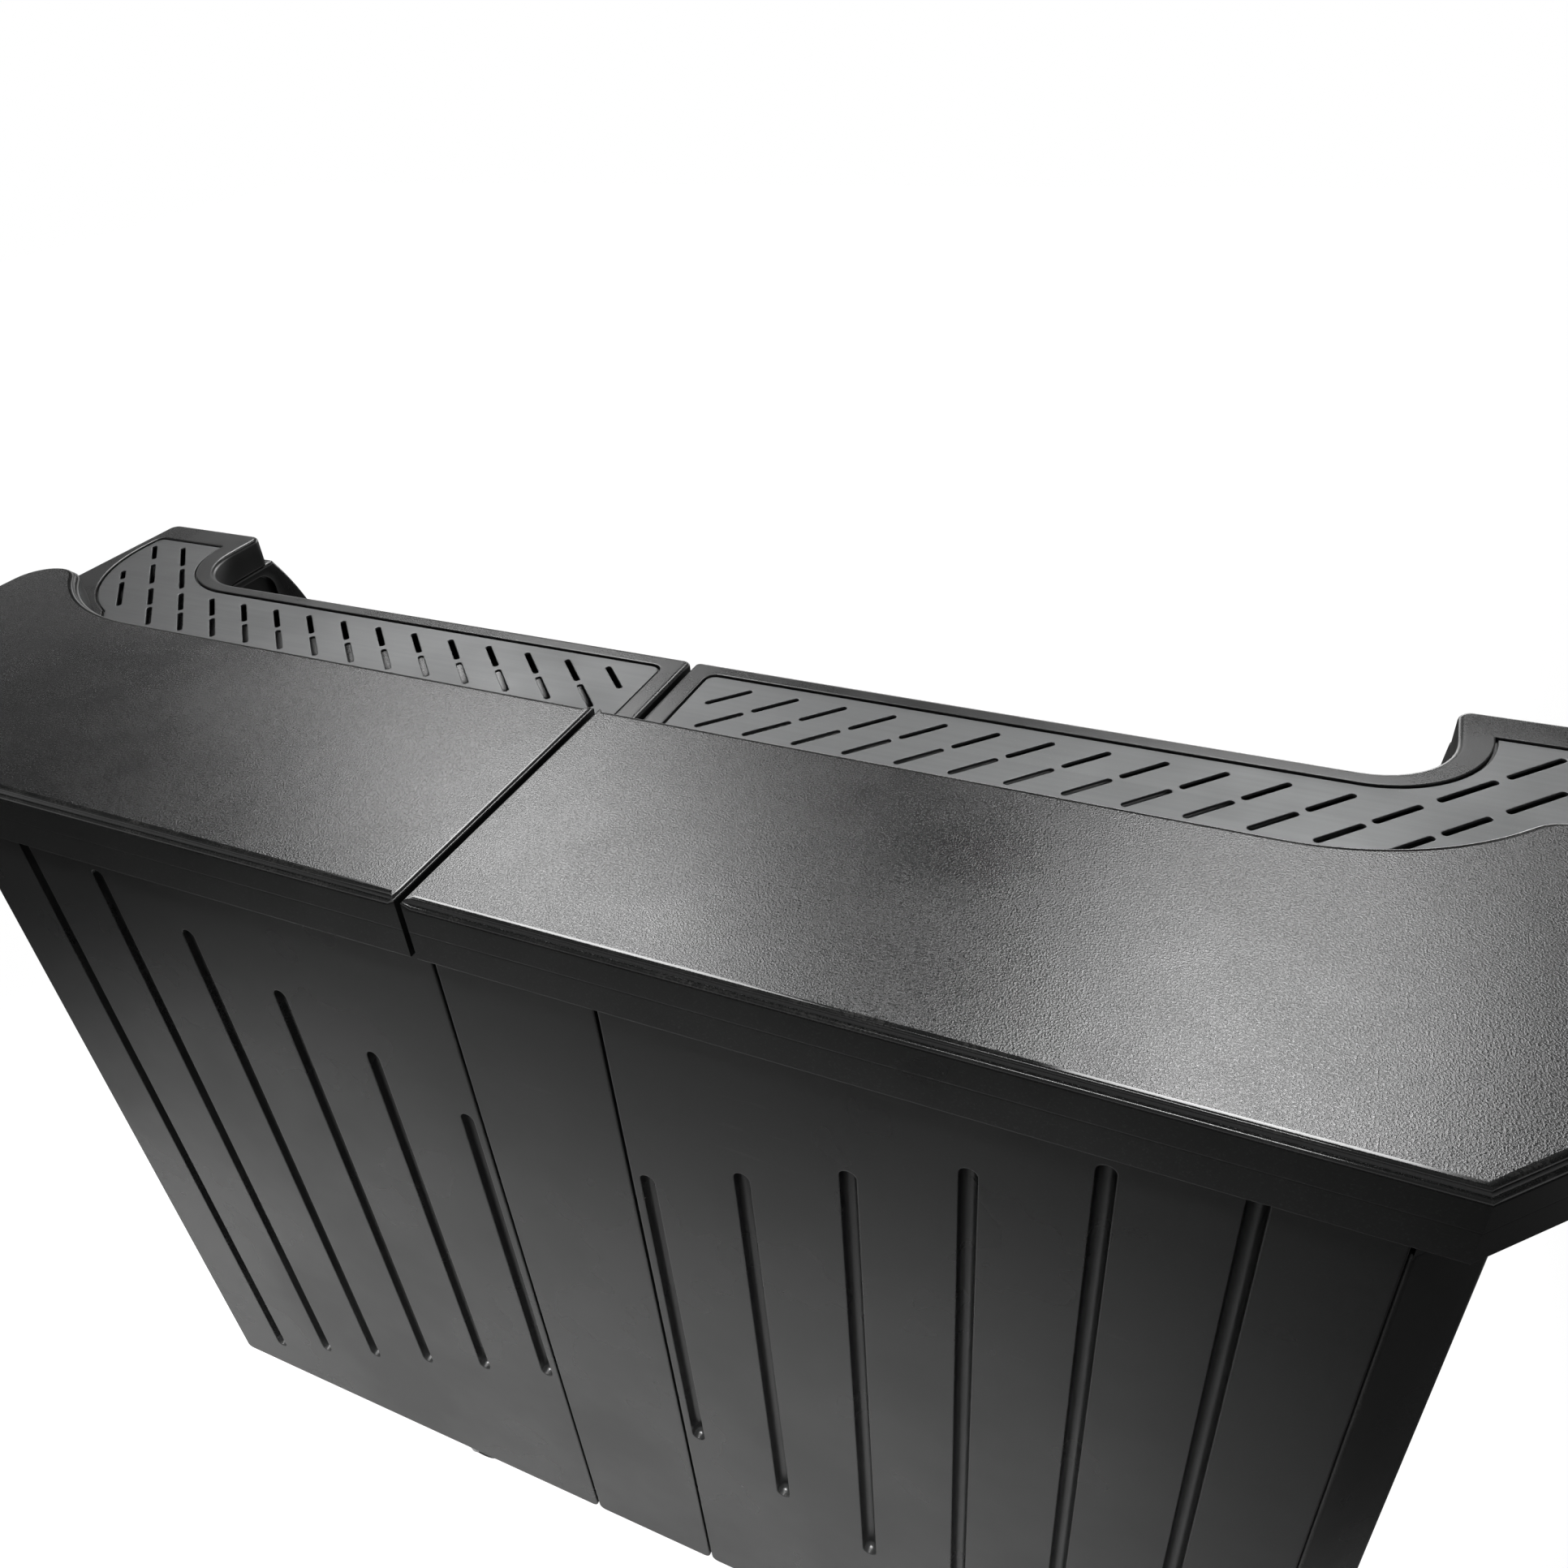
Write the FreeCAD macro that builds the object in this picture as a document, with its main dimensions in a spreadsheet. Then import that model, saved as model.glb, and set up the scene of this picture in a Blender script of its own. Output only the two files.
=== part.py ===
"""Mobile bar counter in two moulded halves that fold like a book about a pin at the bartender's side.

Frame: millimetres, +Z up, +X along the counter, +Y from the guests to the bartender. The origin lies
on the floor under the middle of the whole counter. Each half carries a counter top, a work deck with a
lift-out slotted drip plate, a grooved front, a side wall, shelves and two braked casters.
"""

import FreeCAD, Part
import math
import os
import Sketcher

# Driving dimensions, in millimetres, angles in degrees and counts.
SIZES = {
    # Whole counter
    "counter_height": 1140,
    "ground_clearance": 100,
    "front_overhang": 18,
    "seam_gap": 6.5,
    "cut_overrun": 5,
    # Counter tops
    "slab_thickness": 56,
    "fascia_height": 64,
    "slab_back": 298,
    "slab_side_inset": 46,
    "slab_corner_cut": 128,
    "wing_length": 264,
    "wing_radius": 250,
    "nose_radius": 48,
    "slab_round": 9,
    "fascia_lip": 15,
    "lip_clearance": 4,
    # Work decks
    "deck_half_width": 955,
    "deck_thickness": 42,
    "deck_cut": 185,
    "deck_back": 499,
    "arm_back": 640,
    "arm_width": 170,
    "arm_fillet": 83,
    "deck_corner": 14,
    "deck_seam_corner": 5,
    "deck_round": 6,
    # Drip plates and the recess that holds them
    "plate_thickness": 3,
    "plate_sink": 1.5,
    "plate_gap": 2.5,
    "plate_seam_edge": 31,
    "plate_slab_gap": 12,
    "plate_back": 476,
    "plate_arm_back": 594,
    "plate_arm_inset": 35,
    "plate_side_inset": 19,
    "plate_bow_radius": 193,
    "plate_bow_end": 565,
    "plate_corner": 11,
    "ledge": 6,
    "basin_depth": 22,
    # Slots, cut on lines at 45 degrees
    "slot_width": 6.5,
    "slot_pitch": 55.5,
    "slot_run": 34,
    "slot_step": 45,
    "slot_margin": 19,
    "slot_line_inset": 582,
    "arm_slot_run": 44,
    "arm_slot_step": 57,
    "arm_slot_margin": 19,
    "edge_slot_short_run": 16,
    "edge_slot_long_run": 52,
    "edge_slot_gap": 13,
    "edge_slot_back": 489,
    # Front panels and centre strip
    "panel_thickness": 30,
    "panel_joint": 4,
    "strip_width": 163,
    "left_face_cut": 227,
    "right_face_cut": 58,
    "panel_round": 3,
    "panel_corner": 8,
    "groove_radius": 9.2,
    "groove_first": 16,
    "groove_pitch": 99.3,
    "groove_middle": 625,
    "groove_half_length": 227,
    "groove_growth": 48.7,
    # Side walls
    "wall_inset": 127,
    "wall_thickness": 42,
    "wall_joint": 2,
    "wall_back": 720,
    "wall_top_back": 648,
    "wall_bow_foot": 800,
    "wall_foot_corner": 30,
    "wall_front_thickness": 30,
    "wall_recess_depth": 9,
    "wall_recess_border": 82,
    "wall_recess_top": 12,
    "wall_recess_front": 300,
    "wall_recess_bottom": 40,
    "wall_recess_corner": 25,
    # Shelves and inner posts
    "base_thickness": 30,
    "shelf_thickness": 22,
    "shelf_height": 560,
    "shelf_lip": 14,
    "shelf_lip_width": 10,
    "post_width": 40,
    "post_corner": 6,
    # Fold hinges
    "hinge_leaf_thickness": 3,
    "hinge_leaf_width": 32,
    "hinge_height": 126,
    "hinge_foot_inset": 110,
    "hinge_head_inset": 76,
    "hinge_set_back": 7,
    "hinge_barrel_radius": 6.5,
    "hinge_barrel_gap": 2,
    "hinge_knuckle_gap": 0.6,
    "hinge_pin_radius": 3,
    "hinge_pin_clearance": 0.4,
    "hinge_pin_head": 5,
    "hinge_pin_head_thickness": 2,
    # Casters
    "wheel_radius": 37.5,
    "wheel_width": 24,
    "tyre_round": 5,
    "tyre_depth": 10,
    "wheel_web": 12,
    "hub_radius": 10,
    "hub_width": 26,
    "axle_radius": 4,
    "axle_clearance": 0.5,
    "axle_head_radius": 7,
    "axle_head_thickness": 5,
    "caster_trail": 28,
    "caster_plate_length": 84,
    "caster_plate_width": 62,
    "caster_plate_thickness": 3,
    "caster_plate_corner": 8,
    "caster_bolt_radius": 5.5,
    "caster_bolt_thickness": 4,
    "caster_bolt_inset": 10,
    "raceway_radius": 21,
    "raceway_height": 6,
    "swivel_gap": 0.4,
    "crown_thickness": 3,
    "crown_reach": 20,
    "king_pin_radius": 5,
    "king_pin_head_radius": 9,
    "king_pin_head_thickness": 3,
    "fork_gap": 28.5,
    "fork_leg_thickness": 3,
    "fork_leg_front": 15,
    "fork_leg_drop": 12,
    "fork_boss_radius": 9,
    "pedal_reach": 36,
    "pedal_drop": 7.5,
    "pedal_barrel_radius": 4,
    "pedal_stub_radius": 2.5,
    "pedal_clearance": 0.4,
    "pedal_leg_margin": 8,
    "pedal_length": 40,
    "pedal_thickness": 4,
    "pedal_shoe_depth": 5,
    "pedal_shoe_length": 9,
    "front_caster_left": 256,
    "front_caster_right": 390,
    "front_caster_back": 43,
    "rear_caster_inset": 58,
    "rear_caster_back": 440,
}
GROOVES_PER_PANEL = 6
SLOT_LINES = 14
SAME_PLACE = 1e-4

doc = FreeCAD.newDocument("mobile_bar_counter")
sheet = doc.addObject("Spreadsheet::Sheet", "sizes")
for row, (alias, number) in enumerate(SIZES.items(), start=1):
    sheet.set("A%d" % row, alias)
    sheet.set("B%d" % row, str(number))
    sheet.setAlias("B%d" % row, alias)
doc.recompute()


class Dim:
    """A length that knows both its value and the sheet formula that gives it."""

    def __init__(self, value, text):
        self.value = value
        self.text = text

    @staticmethod
    def of(other):
        return other if isinstance(other, Dim) else Dim(other, repr(other))

    def __add__(self, other):
        other = Dim.of(other)
        return Dim(self.value + other.value, "(%s + %s)" % (self.text, other.text))

    def __sub__(self, other):
        other = Dim.of(other)
        return Dim(self.value - other.value, "(%s - %s)" % (self.text, other.text))

    def __mul__(self, other):
        other = Dim.of(other)
        return Dim(self.value * other.value, "(%s * %s)" % (self.text, other.text))

    def __truediv__(self, other):
        other = Dim.of(other)
        return Dim(self.value / other.value, "(%s / %s)" % (self.text, other.text))

    def __neg__(self):
        return self * -1

    def root(self):
        return Dim(math.sqrt(self.value), "sqrt(%s)" % self.text)


class Sizes:
    """Driving dimensions by name."""

    def __getattr__(self, name):
        return Dim(sheet.get(name), "sizes." + name)


d = Sizes()
zero = Dim(0, "0")
root_two = Dim(math.sqrt(2), "sqrt(2)")
parts = []

# Heights and places that several pieces share
deck_top = d.counter_height - d.slab_thickness
deck_bottom = deck_top - d.deck_thickness
half_seam = d.seam_gap / 2
half_joint = d.panel_joint / 2
slab_side = d.deck_half_width - d.slab_side_inset
slab_corner = slab_side - d.slab_corner_cut
wing_start = slab_side - d.wing_length
arm_inner = d.deck_half_width - d.arm_width
plate_side = d.deck_half_width - d.plate_side_inset
plate_arm_inner = arm_inner + d.plate_arm_inset
wall_outer = d.deck_half_width - d.wall_inset
left_panel_reach = wall_outer - d.left_face_cut
right_panel_reach = wall_outer - d.right_face_cut
front_y = (d.front_overhang - d.wall_back) / 2
wall_inner = wall_outer - d.wall_thickness
hinge_y = d.deck_back + d.hinge_set_back
post_front = d.deck_back - d.post_width
base_top = d.ground_clearance + d.base_thickness
hinge_low = base_top + d.hinge_foot_inset
hinge_high = deck_bottom - d.hinge_height - d.hinge_head_inset
rear_caster_side = wall_inner - d.rear_caster_inset


def place(obj, x=zero, y=zero, z=zero):
    """Bind an object's place; y is counted from the face of the front panels."""
    obj.setExpression("Placement.Base.x", x.text)
    obj.setExpression("Placement.Base.y", (front_y + y).text)
    obj.setExpression("Placement.Base.z", z.text)


def new_body(label, x=zero, y=zero, z=zero):
    body = doc.addObject("PartDesign::Body", label)
    body.Label = label
    place(body, x, y, z)
    parts.append(body)
    return body


def mirrored(path, side):
    """The same outline on the right half (side 1) or the left half (side -1)."""
    return [(x * side, y, bend and (bend[0], bend[1] * side)) for x, y, bend in path]


def straight(*corners):
    return [(x, y, None) for x, y in corners]


def rounded(corners):
    """Outline whose square corners, given as (x, y, radius), are rounded where they have a radius."""
    path = []
    for i, (x, y, radius) in enumerate(corners):
        if radius is None:
            path.append((x, y, None))
            continue
        before = corners[i - 1]
        after = corners[(i + 1) % len(corners)]
        into = unit(before, (x, y))
        out = unit((x, y), after)
        turn = 1 if into[0] * out[1] - into[1] * out[0] > 0 else -1
        path.append((x - radius * into[0], y - radius * into[1], (radius, turn)))
        path.append((x + radius * out[0], y + radius * out[1], None))
    return path


def unit(start, end):
    """Axis direction of a run that lies along X or Y."""
    dx = end[0].value - start[0].value
    dy = end[1].value - start[1].value
    if abs(dx) > abs(dy):
        return (1 if dx > 0 else -1, 0)
    return (0, 1 if dy > 0 else -1)


def round_run(p, q, radius, turn):
    """Arc from p to q that turns left (1) or right (-1), by less than half a circle."""
    chord = q - p
    middle = (p + q) * 0.5
    left = FreeCAD.Vector(-chord.y, chord.x, 0).normalize()
    rise = math.sqrt(max(radius * radius - chord.Length * chord.Length / 4, 0))
    centre = middle + left * (rise * turn)
    first, last = (p, q) if turn > 0 else (q, p)
    start = math.atan2(first.y - centre.y, first.x - centre.x)
    end = math.atan2(last.y - centre.y, last.x - centre.x)
    return Part.ArcOfCircle(Part.Circle(centre, FreeCAD.Vector(0, 0, 1), radius), start, end)


def sketch(body, name, path, plane="XY_Plane", lift=zero, shift=zero):
    """Closed outline on an origin plane, with every corner and radius bound to the sheet."""
    made = body.newObject("Sketcher::SketchObject", name)
    support = [f for f in body.Origin.OriginFeatures if f.Role == plane][0]
    made.AttachmentSupport = (support, "")
    made.MapMode = "FlatFace"
    made.setExpression("AttachmentOffset.Base.z", lift.text)
    made.setExpression("AttachmentOffset.Base.x", shift.text)
    points = [FreeCAD.Vector(x.value, y.value, 0) for x, y, bend in path]
    ends = []
    for i, (x, y, bend) in enumerate(path):
        p, q = points[i], points[(i + 1) % len(points)]
        if bend is None:
            made.addGeometry(Part.LineSegment(p, q), False)
        else:
            made.addGeometry(round_run(p, q, bend[0].value, bend[1]), False)
        ends.append((1, 2) if bend is None or bend[1] > 0 else (2, 1))
    for i, (x, y, bend) in enumerate(path):
        after = (i + 1) % len(path)
        made.addConstraint(Sketcher.Constraint("Coincident", i, ends[i][1], after, ends[after][0]))
        bind(made, "DistanceX", (-1, 1, i, ends[i][0]), x)
        bind(made, "DistanceY", (-1, 1, i, ends[i][0]), y)
        if bend is not None:
            bind(made, "Radius", (i,), bend[0])
    return made


def bind(made, kind, where, dim):
    """Add one dimension to a sketch and tie it to its formula."""
    index = made.addConstraint(Sketcher.Constraint(kind, *where, dim.value))
    made.renameConstraint(index, "%s_%d" % (kind.lower(), index))
    made.setExpression("Constraints.%s_%d" % (kind.lower(), index), dim.text)


def circle(body, name, x, y, radius, plane="XY_Plane", lift=zero):
    """Round outline in quarter turns."""
    path = [
        (x + radius, y, (radius, 1)),
        (x, y + radius, (radius, 1)),
        (x - radius, y, (radius, 1)),
        (x, y - radius, (radius, 1)),
    ]
    return sketch(body, name, path, plane, lift)


def pad(body, profile, length, backwards=False, both=False):
    made = body.newObject("PartDesign::Pad", profile.Name + "_pad")
    made.Profile = profile
    made.setExpression("Length", length.text)
    made.Reversed = backwards
    if both:
        made.SideType = "Symmetric"
    doc.recompute()
    return made


def pocket(body, profile, depth, backwards=False, both=False):
    made = body.newObject("PartDesign::Pocket", profile.Name + "_pocket")
    made.Profile = profile
    made.setExpression("Length", depth.text)
    made.Reversed = backwards
    if both:
        made.SideType = "Symmetric"
    before = made.BaseFeature.Shape.Volume
    doc.recompute()
    if not made.Shape.Volume < before:
        raise ValueError(body.Label + ": " + made.Name + " cuts nothing")
    return made


def turned(body, profile, kind="PartDesign::Revolution", axis="V_Axis"):
    """Whole turn of a profile about its own sketch's axis."""
    made = body.newObject(kind, profile.Name + "_turned")
    made.Profile = profile
    made.ReferenceAxis = (profile, [axis])
    made.Angle = 360
    doc.recompute()
    return made


def soften(body, feature, radius, chosen):
    """Round the edges of a feature that the test picks."""
    names = ["Edge%d" % (i + 1) for i, edge in enumerate(feature.Shape.Edges) if chosen(edge.BoundBox)]
    made = body.newObject("PartDesign::Fillet", feature.Name + "_round")
    made.Base = (feature, names)
    made.setExpression("Radius", radius.text)
    doc.recompute()
    return made


def near(a, b):
    return abs(a - b) < SAME_PLACE


def row_of(body, feature, count, length, profile, backwards):
    """Repeat a cut along X; the row's last copy lies at the given length."""
    made = body.newObject("PartDesign::LinearPattern", feature.Name + "_row")
    made.Originals = [feature]
    made.Direction = (profile, ["H_Axis"])
    made.Reversed = backwards
    made.setExpression("Length", length.text)
    made.Occurrences = count
    body.Tip = made
    doc.recompute()
    return made


# Counter tops


def wing_centre():
    return wing_start, d.slab_back + d.wing_radius


def slab_outline():
    """Plan of the right counter top, from the seam round the guests' side to the curled back wing."""
    wing_x, wing_y = wing_centre()
    reach = d.wing_radius + d.nose_radius
    nose_x = slab_side - d.nose_radius
    across = nose_x - wing_x
    along = (reach * reach - across * across).root()
    touch_x = wing_x + d.wing_radius * across / reach
    touch_y = wing_y - d.wing_radius * along / reach
    front = -d.front_overhang
    return [
        (half_seam, front, None),
        (slab_corner, front, None),
        (slab_side, front + (slab_side - slab_corner), None),
        (slab_side, wing_y - along, (d.nose_radius, 1)),
        (touch_x, touch_y, (d.wing_radius, -1)),
        (wing_start, d.slab_back, None),
        (half_seam, d.slab_back, None),
    ]


def lip_outline():
    """Strip under the counter top's front edges that hides the tops of the panels."""
    front = -d.front_overhang
    inside = d.fascia_lip * (root_two - 1)
    side_in = slab_side - d.fascia_lip
    cut = slab_side - slab_corner
    deck_edge = side_in - (d.deck_half_width - d.deck_cut - d.panel_thickness)
    stop = deck_edge - d.lip_clearance
    return straight(
        (half_seam, front),
        (slab_corner, front),
        (slab_side, front + cut),
        (slab_side, stop),
        (side_in, stop),
        (side_in, front + cut + inside),
        (slab_corner - inside, front + d.fascia_lip),
        (half_seam, front + d.fascia_lip),
    )


def counter_top(name, side):
    body = new_body(name)
    plan = sketch(body, name + "_plan", mirrored(slab_outline(), side), lift=deck_top)
    pad(body, plan, d.slab_thickness)
    lip = sketch(body, name + "_lip", mirrored(lip_outline(), side), lift=deck_top)
    whole = pad(body, lip, d.fascia_height - d.slab_thickness, backwards=True)
    top = d.counter_height.value
    seam = half_seam.value * side
    soften(
        body,
        whole,
        d.slab_round,
        lambda box: near(box.ZMin, top) and near(box.ZMax, top) and not on_seam(box, seam),
    )


def on_seam(box, seam):
    return near(box.XMin, seam) and near(box.XMax, seam)


# Work decks and drip plates


def deck_outline():
    """Plan of the right deck: middle run, arm at the end and a cut front corner."""
    corners = [
        (half_seam, d.panel_thickness, None),
        (d.deck_half_width - d.deck_cut, d.panel_thickness, None),
        (d.deck_half_width, d.panel_thickness + d.deck_cut, None),
        (d.deck_half_width, d.arm_back, d.deck_corner),
        (arm_inner, d.arm_back, d.deck_corner),
        (arm_inner, d.deck_back, d.arm_fillet),
        (half_seam, d.deck_back, d.deck_seam_corner),
    ]
    return rounded(corners)


def plate_outline(grow):
    """Plan of the right drip plate, or of its recess when grown by a gap."""
    wing_x, wing_y = wing_centre()
    wing_radius = d.wing_radius - d.plate_slab_gap + grow
    bow_radius = d.plate_bow_radius + grow
    bow_x = plate_side - d.plate_bow_radius
    corner_x, corner_y = crossing(wing_x, wing_y, wing_radius, bow_x, d.plate_bow_end, bow_radius)
    seam = d.plate_seam_edge - grow
    front = d.slab_back + d.plate_slab_gap - grow
    back = d.plate_back + grow
    arm_back = d.plate_arm_back + grow
    round_off = d.plate_corner + grow
    side = plate_side + grow
    hollow = d.plate_arm_back - d.plate_back - grow
    hollow_x = plate_arm_inner - (d.plate_arm_back - d.plate_back)
    tip_x = hollow_x + (hollow * hollow - grow * grow).root()
    return [
        (seam, front + round_off, (round_off, 1)),
        (seam + round_off, front, None),
        (wing_start, front, (wing_radius, 1)),
        (corner_x, corner_y, (bow_radius, 1)),
        (side, d.plate_bow_end, None),
        (side, arm_back - round_off, (round_off, 1)),
        (side - round_off, arm_back, None),
        (tip_x, arm_back, (hollow, -1)),
        (hollow_x, back, None),
        (seam + round_off, back, (round_off, 1)),
        (seam, back - round_off, None),
    ]


def crossing(ax, ay, a_radius, bx, by, b_radius):
    """Where two circles cross, on the guests' side of the line between their centres."""
    dx, dy = bx - ax, by - ay
    apart = (dx * dx + dy * dy).root()
    along = (a_radius * a_radius - b_radius * b_radius + apart * apart) / (apart * 2)
    across = (a_radius * a_radius - along * along).root()
    return ax + (dx * along + dy * across) / apart, ay + (dy * along - dx * across) / apart


def deck(name, side):
    body = new_body(name)
    plan = sketch(body, name + "_plan", mirrored(deck_outline(), side), lift=deck_bottom)
    board = pad(body, plan, d.deck_thickness)
    top = deck_top.value
    seam = half_seam.value * side
    front = d.panel_thickness.value
    soften(
        body,
        board,
        d.deck_round,
        lambda box: near(box.ZMin, top) and not on_seam(box, seam) and not near(box.YMax, front),
    )
    recess = sketch(body, name + "_recess", mirrored(plate_outline(d.plate_gap), side), lift=deck_top)
    pocket(body, recess, d.plate_thickness + d.plate_sink)
    basin = sketch(body, name + "_basin", mirrored(plate_outline(-d.ledge), side), lift=deck_top)
    pocket(body, basin, d.basin_depth)


def slot_outline(x, back, run):
    """Round-ended slot that runs at 45 degrees, from its back end forward and towards the seam."""
    half = d.slot_width / 2
    slant = half / root_two
    fore_x, fore_y = x - run, back - run
    return [
        (x - slant, back + slant, (half, -1)),
        (x + slant, back + slant, (half, -1)),
        (x + slant, back - slant, None),
        (fore_x + slant, fore_y - slant, (half, -1)),
        (fore_x - slant, fore_y - slant, (half, -1)),
        (fore_x - slant, fore_y + slant, None),
    ]


def drip_plate(name, side):
    body = new_body(name)
    top = deck_top - d.plate_sink
    plan = sketch(body, name + "_plan", mirrored(plate_outline(zero), side), lift=top)
    pad(body, plan, d.plate_thickness, backwards=True)
    depth = d.plate_thickness + d.cut_overrun
    middle_back = d.plate_back - d.slot_margin
    arm_back = d.plate_arm_back - d.arm_slot_margin
    # Each row is a back end, the run of its slots, its first line and how many lines it has
    rows = [
        (middle_back, d.slot_run, 0, SLOT_LINES),
        (middle_back - d.slot_step, d.slot_run, 0, SLOT_LINES - 1),
        (middle_back - d.slot_step * 2, d.slot_run, 1, SLOT_LINES - 3),
        (arm_back, d.arm_slot_run, 1, 1),
        (arm_back - d.slot_width, d.arm_slot_run - d.slot_width * 2, 0, 1),
        (arm_back - d.arm_slot_step, d.arm_slot_run, 0, 2),
        (d.edge_slot_back, d.edge_slot_short_run, -1, 1),
        (d.edge_slot_back - d.edge_slot_short_run - d.edge_slot_gap, d.edge_slot_long_run, -1, 1),
    ]
    for number, (back, run, line, count) in enumerate(rows):
        x = plate_side - d.slot_line_inset - d.slot_pitch * line + back
        outline = mirrored(slot_outline(x, back, run), side)
        shape = sketch(body, "%s_slot_%d" % (name, number), outline, lift=top)
        cut = pocket(body, shape, depth)
        if count > 1:
            row_of(body, cut, count, d.slot_pitch * (count - 1), shape, side > 0)


# Fronts, walls and shelves


def front_piece(name, left, right):
    """Upright panel between two places on X, with softened front edges."""
    body = new_body(name)
    corner = d.panel_corner
    face = rounded(
        [
            (left, d.ground_clearance, corner),
            (right, d.ground_clearance, corner),
            (right, deck_top, None),
            (left, deck_top, None),
        ]
    )
    plan = sketch(body, name + "_face", face, plane="XZ_Plane")
    board = pad(body, plan, d.panel_thickness, backwards=True)
    soften(body, board, d.panel_round, lambda box: near(box.YMin, 0) and near(box.YMax, 0))
    return body


def groove_outline(half_length):
    """Half of a round-ended rod, turned about its own middle line to cut one groove."""
    low = d.groove_middle - half_length
    high = d.groove_middle + half_length
    radius = d.groove_radius
    return [
        (zero, low, (radius, 1)),
        (radius, low + radius, None),
        (radius, high - radius, (radius, 1)),
        (zero, high, None),
    ]


def grooved_panel(name, inner, outer, side):
    left, right = (inner, outer) if side > 0 else (outer, inner)
    body = front_piece(name, left, right)
    for number in range(GROOVES_PER_PANEL):
        x = inner + (d.groove_first + d.groove_pitch * number) * side
        rod = groove_outline(d.groove_half_length + d.groove_growth * number)
        shape = sketch(body, "%s_groove_%d" % (name, number), rod, plane="XZ_Plane", shift=x)
        turned(body, shape, kind="PartDesign::Groove")


def wall_side_outline(start):
    """Side view of a wall, with a back edge that bows out under the deck's arm."""
    rise = deck_bottom - d.wall_bow_foot
    lean = d.wall_back - d.wall_top_back
    bow = (rise * rise + lean * lean) / (lean * 2)
    corner = d.wall_foot_corner
    return [
        (start, d.ground_clearance, None),
        (d.wall_back - corner, d.ground_clearance, (corner, 1)),
        (d.wall_back, d.ground_clearance + corner, None),
        (d.wall_back, d.wall_bow_foot, (bow, 1)),
        (d.wall_top_back, deck_bottom, None),
        (start, deck_bottom, None),
    ]


def side_wall(name, side, panel_reach):
    """End wall with a face at 45 degrees that meets the front panel."""
    body = new_body(name)
    cut = wall_outer - panel_reach
    thick = d.wall_front_thickness * root_two
    near_x = panel_reach + d.wall_joint
    view = wall_side_outline(cut)
    profile = sketch(body, name + "_view", view, plane="YZ_Plane", lift=wall_inner * side)
    pad(body, profile, d.wall_thickness, backwards=side < 0)
    face = straight(
        (near_x, d.wall_joint),
        (wall_outer, cut),
        (wall_outer, cut + thick),
        (wall_inner, cut + thick - d.wall_thickness),
        (near_x, d.wall_joint + thick),
    )
    plan = sketch(body, name + "_face", mirrored(face, side), lift=d.ground_clearance)
    pad(body, plan, deck_bottom - d.ground_clearance)
    deck_line = d.deck_half_width - d.deck_cut - d.panel_thickness
    head = head_outline(panel_reach, near_x, cut, deck_line)
    cap = sketch(body, name + "_head", mirrored(head, side), lift=deck_bottom)
    pad(body, cap, d.deck_thickness)
    recess = rounded(
        [
            (d.wall_recess_front, base_top + d.wall_recess_bottom, d.wall_recess_corner),
            (d.wall_back - d.wall_recess_border, base_top + d.wall_recess_bottom, d.wall_recess_corner),
            (d.wall_back - d.wall_recess_border, deck_bottom - d.wall_recess_top, d.wall_recess_corner),
            (d.wall_recess_front, deck_bottom - d.wall_recess_top, d.wall_recess_corner),
        ]
    )
    hollow = sketch(body, name + "_recess", recess, plane="YZ_Plane", lift=wall_inner * side)
    pocket(body, hollow, d.wall_recess_depth, backwards=side > 0)


def head_outline(panel_reach, near_x, cut, deck_line):
    """Top of the 45 degree face, between the counter top and the deck's front edges."""
    if panel_reach.value + d.panel_thickness.value < deck_line.value:
        return straight(
            (near_x, d.wall_joint),
            (panel_reach + d.panel_thickness, d.panel_thickness),
            (near_x, d.panel_thickness),
        )
    return straight(
        (near_x, d.wall_joint),
        (wall_outer, cut),
        (wall_outer, wall_outer - deck_line),
        (near_x, near_x - deck_line),
    )


def shelf_plan(panel_reach, back):
    """Plan of a shelf behind the panel, cut back along the 45 degree face."""
    thick = d.wall_front_thickness * root_two
    near_x = panel_reach + d.wall_joint
    line = near_x - d.wall_joint - thick
    start = line + d.panel_thickness
    if start.value > near_x.value:
        start = near_x
    corner_y = start - line
    runs = [(half_seam, d.panel_thickness), (start, d.panel_thickness)]
    if corner_y.value > d.panel_thickness.value:
        runs.append((start, corner_y))
    runs += [(wall_inner, wall_inner - line), (wall_inner, back), (half_seam, back)]
    return straight(*runs)


def shelf(name, side, panel_reach, bottom, thickness, back):
    body = new_body(name)
    plan = sketch(body, name + "_plan", mirrored(shelf_plan(panel_reach, back), side), lift=bottom)
    pad(body, plan, thickness)
    return body


def shelf_edge(body, name, side, top):
    """Raised lip along a shelf's back edge that keeps bottles on it."""
    edge = straight(
        (half_seam, post_front - d.shelf_lip_width),
        (wall_inner, post_front - d.shelf_lip_width),
        (wall_inner, post_front),
        (half_seam, post_front),
    )
    strip = sketch(body, name + "_lip", mirrored(edge, side), lift=top)
    pad(body, strip, d.shelf_lip)


def inner_post(name, side):
    body = new_body(name)
    outline = rounded(
        [
            (half_seam, post_front, d.post_corner),
            (half_seam + d.post_width, post_front, d.post_corner),
            (half_seam + d.post_width, d.deck_back, None),
            (half_seam, d.deck_back, None),
        ]
    )
    plan = sketch(body, name + "_plan", mirrored(outline, side), lift=base_top)
    pad(body, plan, deck_bottom - base_top)


# Fold hinges


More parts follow.
